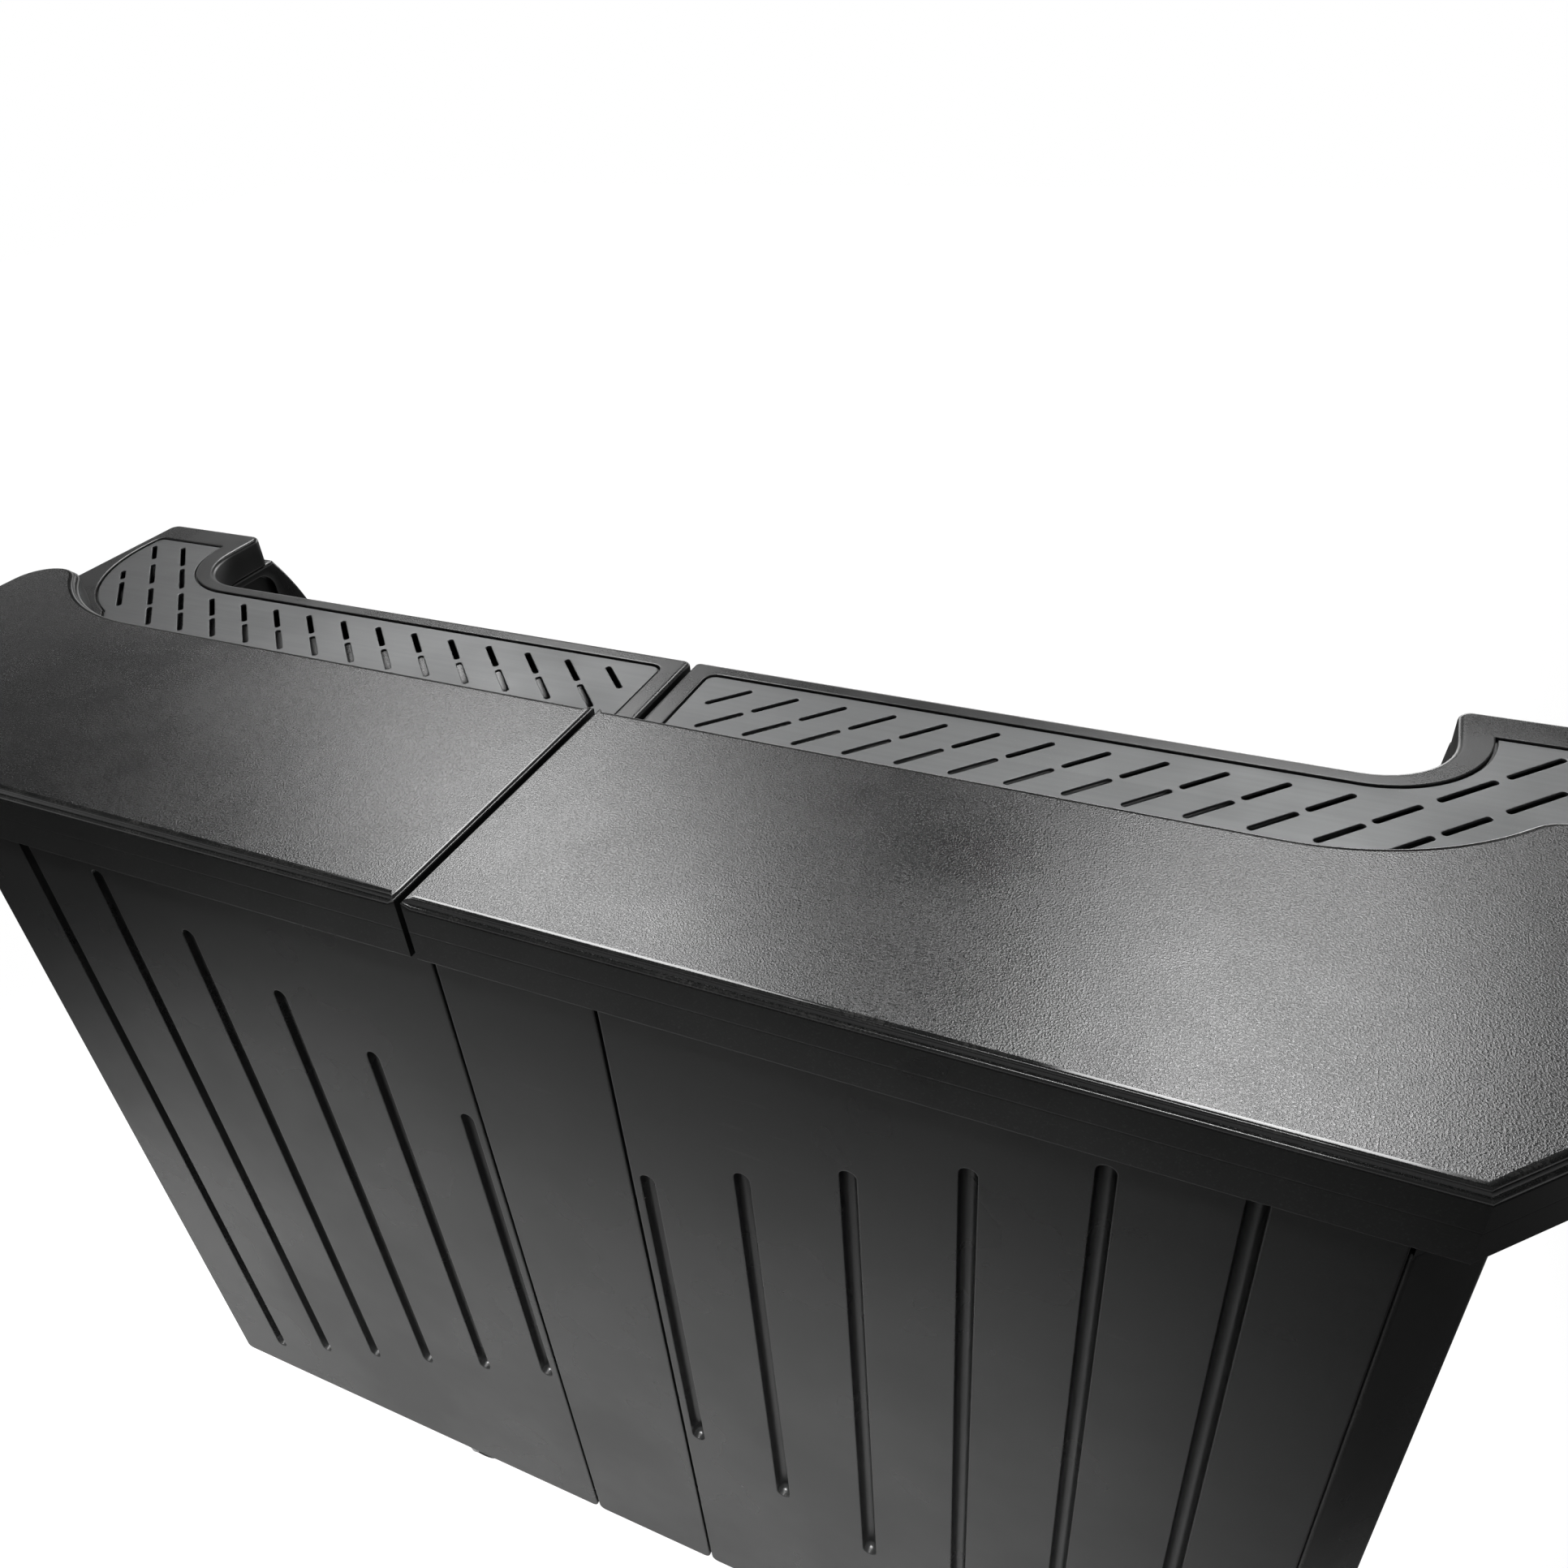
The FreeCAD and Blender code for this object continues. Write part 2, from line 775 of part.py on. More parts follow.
def hinge_leaf(name, side, low, knuckles):
    """Leaf on the back of a post, with its own knuckles round the pin."""
    body = new_body(name)
    barrel = d.hinge_barrel_radius
    leaf_start = barrel + d.hinge_barrel_gap
    leaf_back = d.deck_back + d.hinge_leaf_thickness
    blade = straight(
        (leaf_start, d.deck_back),
        (leaf_start + d.hinge_leaf_width, d.deck_back),
        (leaf_start + d.hinge_leaf_width, leaf_back),
        (leaf_start, leaf_back),
    )
    plan = sketch(body, name + "_blade", mirrored(blade, side), lift=low)
    pad(body, plan, d.hinge_height)
    third = d.hinge_height / 3
    tall = third - d.hinge_knuckle_gap
    for number in knuckles:
        foot = low + third * number + d.hinge_knuckle_gap / 2
        web = straight(
            (zero, d.deck_back + d.hinge_knuckle_gap),
            (leaf_start, d.deck_back + d.hinge_knuckle_gap),
            (leaf_start, leaf_back),
            (zero, leaf_back),
        )
        strap = sketch(body, "%s_web_%d" % (name, number), mirrored(web, side), lift=foot)
        pad(body, strap, tall)
        ring = circle(body, "%s_knuckle_%d" % (name, number), zero, hinge_y, barrel, lift=foot)
        pad(body, ring, tall)
    bore_radius = d.hinge_pin_radius + d.hinge_pin_clearance
    bore = circle(body, name + "_bore", zero, hinge_y, bore_radius, lift=low + d.hinge_height)
    pocket(body, bore, d.hinge_height)


def hinge_pin(name, low):
    """Pin whose head rests on the upper knuckle."""
    body = new_body(name, y=hinge_y)
    head_foot = low + d.hinge_height - d.hinge_knuckle_gap / 2
    profile = straight(
        (zero, low),
        (d.hinge_pin_radius, low),
        (d.hinge_pin_radius, head_foot),
        (d.hinge_pin_head, head_foot),
        (d.hinge_pin_head, head_foot + d.hinge_pin_head_thickness),
        (zero, head_foot + d.hinge_pin_head_thickness),
    )
    turned(body, sketch(body, name + "_profile", profile, plane="XZ_Plane"))


# Casters, each built round its swivel axis with the wheel trailing along +X

crown_top = d.ground_clearance - d.caster_plate_thickness - d.raceway_height - d.swivel_gap
crown_bottom = crown_top - d.crown_thickness
fork_half = d.fork_gap / 2
fork_outer = fork_half + d.fork_leg_thickness
pedal_x = d.pedal_reach
pedal_z = crown_top - d.pedal_drop


def caster_plate(name, x, y):
    """Top plate with its bolts, ball race and king pin."""
    body = new_body(name, x, y)
    along = d.caster_plate_length / 2
    across = d.caster_plate_width / 2
    corner = d.caster_plate_corner
    under = d.ground_clearance - d.caster_plate_thickness
    corners = [(-along, -across), (along, -across), (along, across), (-along, across)]
    outline = rounded([(px, py, corner) for px, py in corners])
    pad(body, sketch(body, name + "_plan", outline, lift=under), d.caster_plate_thickness)
    race = circle(body, name + "_race", zero, zero, d.raceway_radius, lift=under)
    pad(body, race, d.raceway_height, backwards=True)
    pin_top = crown_top + d.swivel_gap
    pin_foot = crown_bottom - d.swivel_gap
    pin = circle(body, name + "_king_pin", zero, zero, d.king_pin_radius, lift=pin_top)
    pad(body, pin, pin_top - pin_foot, backwards=True)
    head = circle(body, name + "_king_head", zero, zero, d.king_pin_head_radius, lift=pin_foot)
    pad(body, head, d.king_pin_head_thickness, backwards=True)
    for number, (side_x, side_y) in enumerate([(-1, -1), (1, -1), (1, 1), (-1, 1)]):
        bolt_x = (along - d.caster_bolt_inset) * side_x
        bolt_y = (across - d.caster_bolt_inset) * side_y
        bolt = circle(body, "%s_bolt_%d" % (name, number), bolt_x, bolt_y, d.caster_bolt_radius, lift=under)
        pad(body, bolt, d.caster_bolt_thickness, backwards=True)


def caster_fork(name, x, y):
    """Crown and two legs that hold the axle and the brake pedal."""
    body = new_body(name, x, y)
    reach = pedal_x + d.pedal_leg_margin
    crown = rounded(
        [
            (-d.crown_reach, -fork_outer, d.fork_leg_thickness),
            (d.caster_trail, -fork_outer, None),
            (d.caster_trail, fork_outer, None),
            (-d.crown_reach, fork_outer, d.fork_leg_thickness),
        ]
    )
    pad(body, sketch(body, name + "_crown", crown, lift=crown_bottom), d.crown_thickness)
    boss = d.fork_boss_radius
    trail = d.caster_trail
    leg = [
        (-d.fork_leg_front, crown_top, None),
        (-d.fork_leg_front, crown_top - d.fork_leg_drop, None),
        (trail - boss, d.wheel_radius, (boss, 1)),
        (trail, d.wheel_radius - boss, (boss, 1)),
        (trail + boss, d.wheel_radius, None),
        (reach, pedal_z - d.pedal_leg_margin, None),
        (reach, crown_top, None),
    ]
    for word, lift, backwards in (("near", fork_half, False), ("far", -fork_half, True)):
        plate = sketch(body, "%s_leg_%s" % (name, word), leg, plane="XZ_Plane", lift=lift)
        pad(body, plate, d.fork_leg_thickness, backwards=backwards)
    bores = [
        ("axle", trail, d.wheel_radius, d.axle_radius + d.axle_clearance),
        ("pedal", pedal_x, pedal_z, d.pedal_stub_radius + d.pedal_clearance),
    ]
    for word, bore_x, bore_z, radius in bores:
        hole = circle(body, "%s_%s_bore" % (name, word), bore_x, bore_z, radius, plane="XZ_Plane")
        pocket(body, hole, (fork_outer + d.cut_overrun) * 2, both=True)
    king = d.king_pin_radius + d.swivel_gap
    hole = circle(body, name + "_king_bore", zero, zero, king, lift=crown_top)
    pocket(body, hole, d.crown_thickness)


def caster_wheel(name, x, y):
    """Tyre, web and hub in one, turned about the axle."""
    body = new_body(name, x + d.caster_trail, y, d.wheel_radius)
    bore = d.axle_radius + d.axle_clearance
    rim = d.wheel_radius - d.tyre_depth
    hub = d.hub_width / 2
    web = d.wheel_web / 2
    tread = d.wheel_width / 2
    corner = d.tyre_round
    profile = [
        (bore, -hub, None),
        (d.hub_radius, -hub, None),
        (d.hub_radius, -web, None),
        (rim, -web, None),
        (rim, -tread, None),
        (d.wheel_radius - corner, -tread, (corner, 1)),
        (d.wheel_radius, corner - tread, None),
        (d.wheel_radius, tread - corner, (corner, 1)),
        (d.wheel_radius - corner, tread, None),
        (rim, tread, None),
        (rim, web, None),
        (d.hub_radius, web, None),
        (d.hub_radius, hub, None),
        (bore, hub, None),
    ]
    turned(body, sketch(body, name + "_profile", profile))


def caster_axle(name, x, y):
    """Bolt through both legs, with its head and nut against them."""
    body = new_body(name, x + d.caster_trail, y, d.wheel_radius)
    end = fork_outer + d.axle_head_thickness
    profile = straight(
        (zero, -end),
        (d.axle_head_radius, -end),
        (d.axle_head_radius, -fork_outer),
        (d.axle_radius, -fork_outer),
        (d.axle_radius, fork_outer),
        (d.axle_head_radius, fork_outer),
        (d.axle_head_radius, end),
        (zero, end),
    )
    turned(body, sketch(body, name + "_profile", profile))


def caster_pedal(name, x, y):
    """Brake pedal that rocks on its own stubs in the fork's legs."""
    body = new_body(name, x + pedal_x, y, pedal_z)
    barrel = d.pedal_barrel_radius
    inside = fork_half - d.pedal_clearance
    profile = straight(
        (zero, -fork_outer),
        (d.pedal_stub_radius, -fork_outer),
        (d.pedal_stub_radius, -inside),
        (barrel, -inside),
        (barrel, inside),
        (d.pedal_stub_radius, inside),
        (d.pedal_stub_radius, fork_outer),
        (zero, fork_outer),
    )
    turned(body, sketch(body, name + "_barrel", profile))
    shoe = d.pedal_shoe_length
    lever = straight(
        (zero, -barrel),
        (shoe, -barrel),
        (shoe, zero),
        (d.pedal_length - shoe, zero),
        (d.pedal_length, -d.pedal_shoe_depth),
        (d.pedal_length, d.pedal_thickness - d.pedal_shoe_depth),
        (d.pedal_length - shoe, d.pedal_thickness),
        (zero, d.pedal_thickness),
    )
    blade = sketch(body, name + "_lever", lever, plane="XZ_Plane")
    pad(body, blade, inside * 2, both=True)


# Build both halves

counter_top("right_counter_top", 1)
counter_top("left_counter_top", -1)
deck("right_deck", 1)
deck("left_deck", -1)
drip_plate("right_drip_plate", 1)
drip_plate("left_drip_plate", -1)
front_piece("centre_strip", half_joint, d.strip_width - half_joint)
grooved_panel("right_front_panel", d.strip_width + half_joint, right_panel_reach, 1)
grooved_panel("left_front_panel", -half_joint, -left_panel_reach, -1)
for word, side, reach in (("right", 1, right_panel_reach), ("left", -1, left_panel_reach)):
    side_wall(word + "_side_wall", side, reach)
    shelf(word + "_base_shelf", side, reach, d.ground_clearance, d.base_thickness, d.deck_back)
    board = shelf(word + "_middle_shelf", side, reach, d.shelf_height, d.shelf_thickness, post_front)
    shelf_edge(board, word + "_middle_shelf", side, d.shelf_height + d.shelf_thickness)
    inner_post(word + "_inner_post", side)
for word, low in (("lower", hinge_low), ("upper", hinge_high)):
    hinge_leaf("right_%s_hinge_leaf" % word, 1, low, (0, 2))
    hinge_leaf("left_%s_hinge_leaf" % word, -1, low, (1,))
    hinge_pin("%s_hinge_pin" % word, low)
casters = {
    "front_left": (-d.front_caster_left, d.front_caster_back),
    "front_right": (d.front_caster_right, d.front_caster_back),
    "rear_left": (-rear_caster_side, d.rear_caster_back),
    "rear_right": (rear_caster_side, d.rear_caster_back),
}
for word, (x, y) in casters.items():
    caster_plate(word + "_caster_plate", x, y)
    caster_fork(word + "_caster_fork", x, y)
    caster_wheel(word + "_caster_wheel", x, y)
    caster_axle(word + "_caster_axle", x, y)
    caster_pedal(word + "_caster_pedal", x, y)

# Check every object, then write each piece

doc.recompute()
for obj in doc.Objects:
    if "Invalid" in obj.State or "Error" in obj.State:
        raise ValueError(obj.Label + " did not build")
for part in parts:
    if part.Shape.isNull() or not part.Shape.isValid():
        raise ValueError(part.Label + " has no valid shape")
os.makedirs("parts", exist_ok=True)
for part in parts:
    part.Shape.exportStep("parts/%s.step" % part.Label)
    print(part.Label, len(part.Shape.Solids), round(part.Shape.Volume))
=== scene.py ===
"""Mobile bar counter: moulded tops, decks, slotted drip plates, grooved fronts, walls and casters.

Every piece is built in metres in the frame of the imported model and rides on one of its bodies. The sizes
follow the frame; y values of outlines are counted from the face of the front panels towards the bartender.
"""

import math

import bmesh
import bpy
import numpy as np
from bpy.props import FloatProperty, FloatVectorProperty, IntProperty, PointerProperty
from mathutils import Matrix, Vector
from mathutils.geometry import delaunay_2d_cdt


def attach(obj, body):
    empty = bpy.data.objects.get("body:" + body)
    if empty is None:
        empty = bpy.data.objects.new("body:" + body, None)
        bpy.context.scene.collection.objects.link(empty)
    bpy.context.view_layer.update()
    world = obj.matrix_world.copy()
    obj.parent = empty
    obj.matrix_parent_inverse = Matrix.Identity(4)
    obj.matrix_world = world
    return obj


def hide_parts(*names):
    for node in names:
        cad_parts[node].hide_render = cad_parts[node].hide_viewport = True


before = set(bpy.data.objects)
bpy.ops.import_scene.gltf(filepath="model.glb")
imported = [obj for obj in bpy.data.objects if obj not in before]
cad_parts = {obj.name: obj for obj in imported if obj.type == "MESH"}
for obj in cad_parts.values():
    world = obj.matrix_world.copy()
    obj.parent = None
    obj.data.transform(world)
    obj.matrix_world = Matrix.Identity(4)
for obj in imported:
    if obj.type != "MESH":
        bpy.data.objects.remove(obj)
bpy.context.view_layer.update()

bl_info = {
    "name": "Mobile bar counter",
    "version": (1, 0, 0),
    "blender": (4, 5, 0),
    "location": "3D View > Sidebar > Bar counter",
    "description": "Builds the visible pieces of a folding bar counter round its packed frame",
    "category": "Object",
}

SIDES = (("right", 1), ("left", -1))
QUARTER = math.pi / 2
ROOT_TWO = math.sqrt(2)
SAME_PLACE = 1e-6
SHARP_ANGLE = math.radians(32)
WEAR_LAYER = "edge"
SENSOR_WIDTH = 36.0

# Short run over which the lower edge of a top changes its height

HEIGHT_STEP = 0.0001

# Guard so wide that straight runs stay undivided, so that an outline keeps its points as it grows

UNDIVIDED = 1.0

# Longest run between the points of an outline where they lie closer than usual

CLOSE_RUN = 0.05

# Limit that keeps the point of a sharp corner from moving too far when its outline is moved inwards

SHARPEST = 0.3

# Distance under which two points of a flat field count as one

FIELD_LIMIT = 1e-9

# Share of a softened edge's width and height at which its middle point lies

MID_SOFT = 0.3

# Section of a groove: steps from its side to its bottom, and the angle where its round part starts

GROOVE_STEPS = 7
GROOVE_START = math.radians(14)

# Widths of the flat strip that is kept beside a rounded edge, so that the field next to it is shaded flat

WIDE_SUPPORT = 0.0015
SUPPORT = 0.001
NARROW_SUPPORT = 0.0005

# Screws of a hinge leaf: share of its height and share of its width

SCREW_SHARES = ((0.14, 0.62), (0.5, 0.4), (0.86, 0.62))

# Tyre beside the tread: millimetres below the tread, millimetres in from the side, and wear

TYRE_SHOULDER = (
    (6.2, 0.0, 0.0), (5.6, 0.6, 0.0), (5.0, 0.4, 0.3), (3.2, 1.0, 0.5), (1.6, 2.4, 0.8), (0.6, 4.6, 0.8),
    (0.1, 7.5, 0.4),
)

# Lamps: name, setting of the power, place, spot that is faced, width and height, spread in degrees

LAMPS = (
    ("left_softbox", "left_power", (-2.41, 2.57, 4.75), (0.05, -0.25, 1.14), (1.6, 2.6), 40),
    ("right_softbox", "right_power", (0.7, 2.51, 4.43), (0.66, -0.25, 1.14), (1.35, 2.3), 40),
    ("front_fill", "front_power", (-0.35, -0.84, 1.6), (-0.35, -0.62, 0.0), (2.2, 0.55), 45),
    ("back_fill", "back_power", (0.0, 3.2, 1.1), (0.0, 0.3, 0.6), (3.2, 1.2), 100),
)

# Where the stage changes, from and to: the painted shade that darkens the floor's colour along X, its glow
# with the distance from the middle, the share of the glow that reflections show along Y, and the ceiling with
# the Y of the direction

# Painted shade: over this span of X the floor's colour turns darker, to the right of the counter
PAINTED_SHADE_TURN = (0.9, 1.3)
GLOW_TURN = (1.2, 3.5)
SHARE_RISE = (0.1, 0.5)
SHARE_FALL = (0.9, 1.3)
CEILING_TURN = (-0.3, 0.1)


# Sizes and colours that a user would change


def length(name, millimetres, description, lowest=0):
    """Size or place, given in millimetres and kept in metres."""
    return FloatProperty(
        name=name, description=description, default=millimetres / 1000, unit="LENGTH", precision=4,
        min=lowest / 1000,
    )


def colour(name, value, description):
    return FloatVectorProperty(
        name=name, description=description, default=value, subtype="COLOR", size=3, min=0.0, max=1.0
    )


def share(name, value, description):
    return FloatProperty(
        name=name, description=description, default=value, subtype="FACTOR", min=0.0, max=1.0
    )


def power(name, watts, description):
    return FloatProperty(name=name, description=description, default=watts, unit="POWER", min=0.0)


def angle_of(name, degrees, description):
    return FloatProperty(name=name, description=description, default=math.radians(degrees), subtype="ANGLE")


def count(name, number, description):
    return IntProperty(name=name, description=description, default=number, min=1)


class TopSizes(bpy.types.PropertyGroup):
    """Sizes of the two counter tops."""

    height: length("Height", 1140, "Height of the counter tops above the floor")
    thickness: length("Thickness", 56, "Thickness of a top above the deck")
    fascia: length("Fascia", 64, "Height of the front edge")
    overhang: length("Overhang", 18, "How far the front edge stands before the panels")
    half_seam: length("Half seam", 3.25, "Half of the gap between the two halves")
    back: length("Back edge", 298, "Place of the straight back edge")
    corner: length("Corner", 799, "Where the cut front corner starts")
    side: length("Side", 909, "Half width of the tops")
    wing_start: length("Wing start", 645, "Where the back edge starts to curl")
    wing_radius: length("Wing radius", 250, "Radius of the curled back edge")
    nose_radius: length("Nose radius", 48, "Radius of the wing's tip")
    edge_height: length("Edge height", 9, "Height of the stepped upper edge")
    seam_height: length("Seam edge height", 3.6, "Height of the stepped upper edge along the seam")
    lip: length("Lip", 15, "Width of the fascia's lower lip")
    fascia_end: length("Fascia end", 150, "Where the fascia's lower lip stops on the side")
    upper_round: length("Upper round", 3.2, "Radius of the upper step of the edge")
    lower_round: length("Lower round", 4.0, "Radius of the lower step of the edge")
    ledge: length("Ledge", 1.2, "Flat between the two steps of the edge")
    smooth_strip: length("Smooth strip", 1.8, "Width of the grainless strip beside the edge")
    parting_drop: length("Parting drop", 34, "How far below the top the parting line runs")
    parting_depth: length("Parting depth", 0.1, "Depth of the parting line")
    parting_half: length("Parting half", 0.6, "Half of the parting line's width")
    under_soft: length("Softened foot", 0.4, "Softened lower edge of the fascia")


class DeckSizes(bpy.types.PropertyGroup):
    """Sizes of the two work decks and their recesses."""

    thickness: length("Thickness", 42, "Thickness of a deck")
    half_width: length("Half width", 955, "Half width of the decks")
    front: length("Front edge", 30, "Place of the front edge, behind the panels")
    cut: length("Corner cut", 185, "Size of the cut front corner")
    back: length("Back edge", 499, "Place of the back edge")
    arm_back: length("Arm back", 640, "Place of the arm's back edge")
    arm_inner: length("Arm inner side", 785, "Inner side of the arm")
    arm_fillet: length("Arm fillet", 83, "Radius between the arm and the back edge")
    corner_round: length("Corner round", 14, "Radius of the arm's corners")
    seam_corner: length("Seam corner", 7.5, "Radius of the corner at the seam")
    edge_round: length("Edge round", 5.5, "Radius of the upper edge")
    under_round: length("Lower round", 3, "Radius of the lower edge")
    recess: length("Recess", 4.5, "Depth of the ledge that carries the drip plate")
    ledge: length("Ledge", 6, "How far the ledge reaches under the plate")
    basin: length("Basin", 22, "Depth of the basin under the plate")
    lip_round: length("Lip round", 1.3, "Radius of the recess's upper edge")


class PlateSizes(bpy.types.PropertyGroup):
    """Sizes of the two drip plates and their slots."""

    thickness: length("Thickness", 3, "Thickness of a plate")
    sink: length("Sink", 1.5, "How far a plate lies below the deck's rim")
    gap: length("Gap", 2.5, "Gap between a plate and its recess")
    seam_edge: length("Seam edge", 31, "Plate edge beside the seam")
    top_gap: length("Gap to the top", 12, "Distance from the counter top's back edge")
    back: length("Back edge", 476, "Place of the back edge")
    arm_back: length("Arm back", 594, "Place of the arm's back edge")
    arm_inner: length("Arm inner side", 820, "Inner tip of the arm")
    side: length("Side", 936, "Outer side of the plate")
    bow_radius: length("Bow radius", 193, "Radius of the bowed outer edge")
    bow_end: length("Bow end", 565, "Where the bowed edge turns straight")
    corner: length("Corner", 11, "Radius of the corners")
    bevel: length("Bevel", 0.8, "Softened edges of the plate and its slots")
    slot_width: length("Slot width", 6.5, "Width of a slot")
    slot_pitch: length("Slot pitch", 55.5, "Distance between slot lines")
    slot_run: length("Slot run", 34, "Run of a slot along each axis")
    slot_step: length("Slot step", 45, "Distance between slot rows")
    slot_margin: length("Slot margin", 19, "Distance of the first row from the back edge")
    line_reach: length("Line reach", 354, "Where the first slot line meets the panels' plane")
    arm_slot_run: length("Arm slot run", 44, "Run of a slot on the arm")
    arm_slot_step: length("Arm slot step", 57, "Distance between slot rows on the arm")
    edge_slot_short: length("Short edge slot", 16, "Run of the short slot beside the bow")
    edge_slot_long: length("Long edge slot", 52, "Run of the long slot beside the bow")
    edge_slot_gap: length("Edge slot gap", 13, "Gap between the two slots beside the bow")
    edge_slot_back: length("Edge slot back", 489, "Back end of the slots beside the bow")
    slot_lines: count("Slot lines", 14, "Slot lines in the back row")


class FrontSizes(bpy.types.PropertyGroup):
    """Sizes of the front panels and the centre strip."""

    thickness: length("Thickness", 30, "Thickness of a panel")
    clearance: length("Clearance", 100, "Height of the lower edge above the floor")
    joint: length("Joint", 3, "Gap between neighbouring panels")
    strip_width: length("Strip width", 163, "Width of the centre strip with its joints")
    left_reach: length("Left reach", 601, "Outer edge of the left panel")
    right_reach: length("Right reach", 770, "Outer edge of the right panel")
    edge_round: length("Edge round", 1.4, "Radius of the front edges")
    back_round: length("Back round", 1, "Radius of the back edges")
    corner: length("Corner", 8, "Radius of the lower corners")
    groove_radius: length("Groove radius", 7.6, "Radius of a groove")
    groove_wall: length("Groove wall", 4.5, "Straight part of a groove's side")
    groove_lip: length("Groove lip", 1.0, "Softened edge of a groove")
    groove_first: length("First groove", 16.5, "Distance of the first groove from the inner edge")
    groove_pitch: length("Groove pitch", 99.3, "Distance between grooves")
    groove_middle: length("Groove middle", 625, "Height of the grooves' middle")
    groove_half: length("Groove half length", 227, "Half length of the shortest groove")
    groove_growth: length("Groove growth", 48.7, "How much each next half length grows")
    grooves: count("Grooves", 6, "Grooves on each panel")


class WallSizes(bpy.types.PropertyGroup):
    """Sizes of the two side walls."""

    outer: length("Outer side", 828, "Outer side of a wall")
    thickness: length("Thickness", 42, "Thickness of a wall")
    face_thickness: length("Face thickness", 30, "Thickness of the 45 degree face")
    joint: length("Joint", 3.5, "Gap to the front panel")
    back: length("Back edge", 720, "Place of the back edge at the foot")
    top_back: length("Top back edge", 648, "Place of the back edge under the deck")
    bow_foot: length("Bow foot", 800, "Height where the back edge starts to lean")
    foot_corner: length("Foot corner", 30, "Radius of the lower back corner")
    edge_round: length("Edge round", 4, "Radius of the edges")
    fold_round: length("Fold round", 12, "Radius of the corner between face and side")
    recess_front: length("Recess front", 300, "Front end of the recessed inner field")
    recess_border: length("Recess border", 82, "Border behind the recessed field")
    recess_low: length("Recess foot", 170, "Lower edge of the recessed field")
    recess_high: length("Recess head", 1030, "Upper edge of the recessed field")
    recess_corner: length("Recess corner", 25, "Radius of the recessed field's corners")
    recess_depth: length("Recess depth", 9, "Depth of the recessed field")
    recess_soft: length("Softened recess", 1.5, "Softened edges of the recessed field")
    head_gap: length("Head gap", 0.4, "Gap round the upper end of the 45 degree face")


class ShelfSizes(bpy.types.PropertyGroup):
    """Sizes of the shelves and inner posts."""

    base_thickness: length("Base thickness", 30, "Thickness of the base shelf")
    middle_thickness: length("Shelf thickness", 22, "Thickness of the middle shelf")
    middle_height: length("Shelf height", 560, "Height of the middle shelf's underside")
    lip_height: length("Lip height", 14, "Height of the middle shelf's lip")
    lip_width: length("Lip width", 10, "Width of the middle shelf's lip")
    lip_foot: length("Lip foot", 0.5, "Radius of the lip's lower edge")
    edge_round: length("Edge round", 2, "Radius of the edges")
    post_width: length("Post width", 40, "Width of an inner post")
    post_corner: length("Post corner", 6, "Radius of a post's corners")
    post_end: length("Post end", 1, "Radius of a post's end edges")


class HingeSizes(bpy.types.PropertyGroup):
    """Sizes of the fold hinges."""

    leaf_thickness: length("Leaf thickness", 3, "Thickness of a leaf")
    leaf_width: length("Leaf width", 32, "Width of a leaf")
    leaf_corner: length("Leaf corner", 5, "Radius of a leaf's outer corners")
    height: length("Height", 126, "Height of a hinge")
    low: length("Lower hinge", 240, "Foot of the lower hinge")
    high: length("Upper hinge", 840, "Foot of the upper hinge")
    set_back: length("Set back", 7, "Distance of the pin from the posts")
    barrel_radius: length("Barrel radius", 6.5, "Radius of the knuckles")
    barrel_gap: length("Barrel gap", 2, "Gap between the knuckles and the leaf's flat")
    knuckle_gap: length("Knuckle gap", 0.6, "Gap between knuckles")
    pin_radius: length("Pin radius", 3, "Radius of the pin")
    pin_head: length("Pin head", 5, "Radius of the pin's head")
    pin_head_height: length("Pin head height", 2, "Height of the pin's head")
    screw_radius: length("Screw radius", 4.2, "Radius of a screw head")
    leaf_round: length("Leaf round", 0.6, "Radius of a leaf's outer edges")
    leaf_foot: length("Leaf foot", 0.3, "Radius of a leaf's edges against the post")
    web_overlap: length("Web overlap", 0.5, "How far a knuckle's web runs into the leaf")
    web_inset: length("Web inset", 0.3, "How far a web stays inside its knuckle's ends")
    pin_gap: length("Pin gap", 0.4, "Gap between the pin and the knuckles")
    barrel_soft: length("Softened knuckle", 0.8, "Softened ends of a knuckle")
    pin_foot: length("Pin foot", 0.6, "Chamfer of the pin's foot")
    pin_dome: length("Pin dome", 0.9, "Height of the dome on the pin's head")


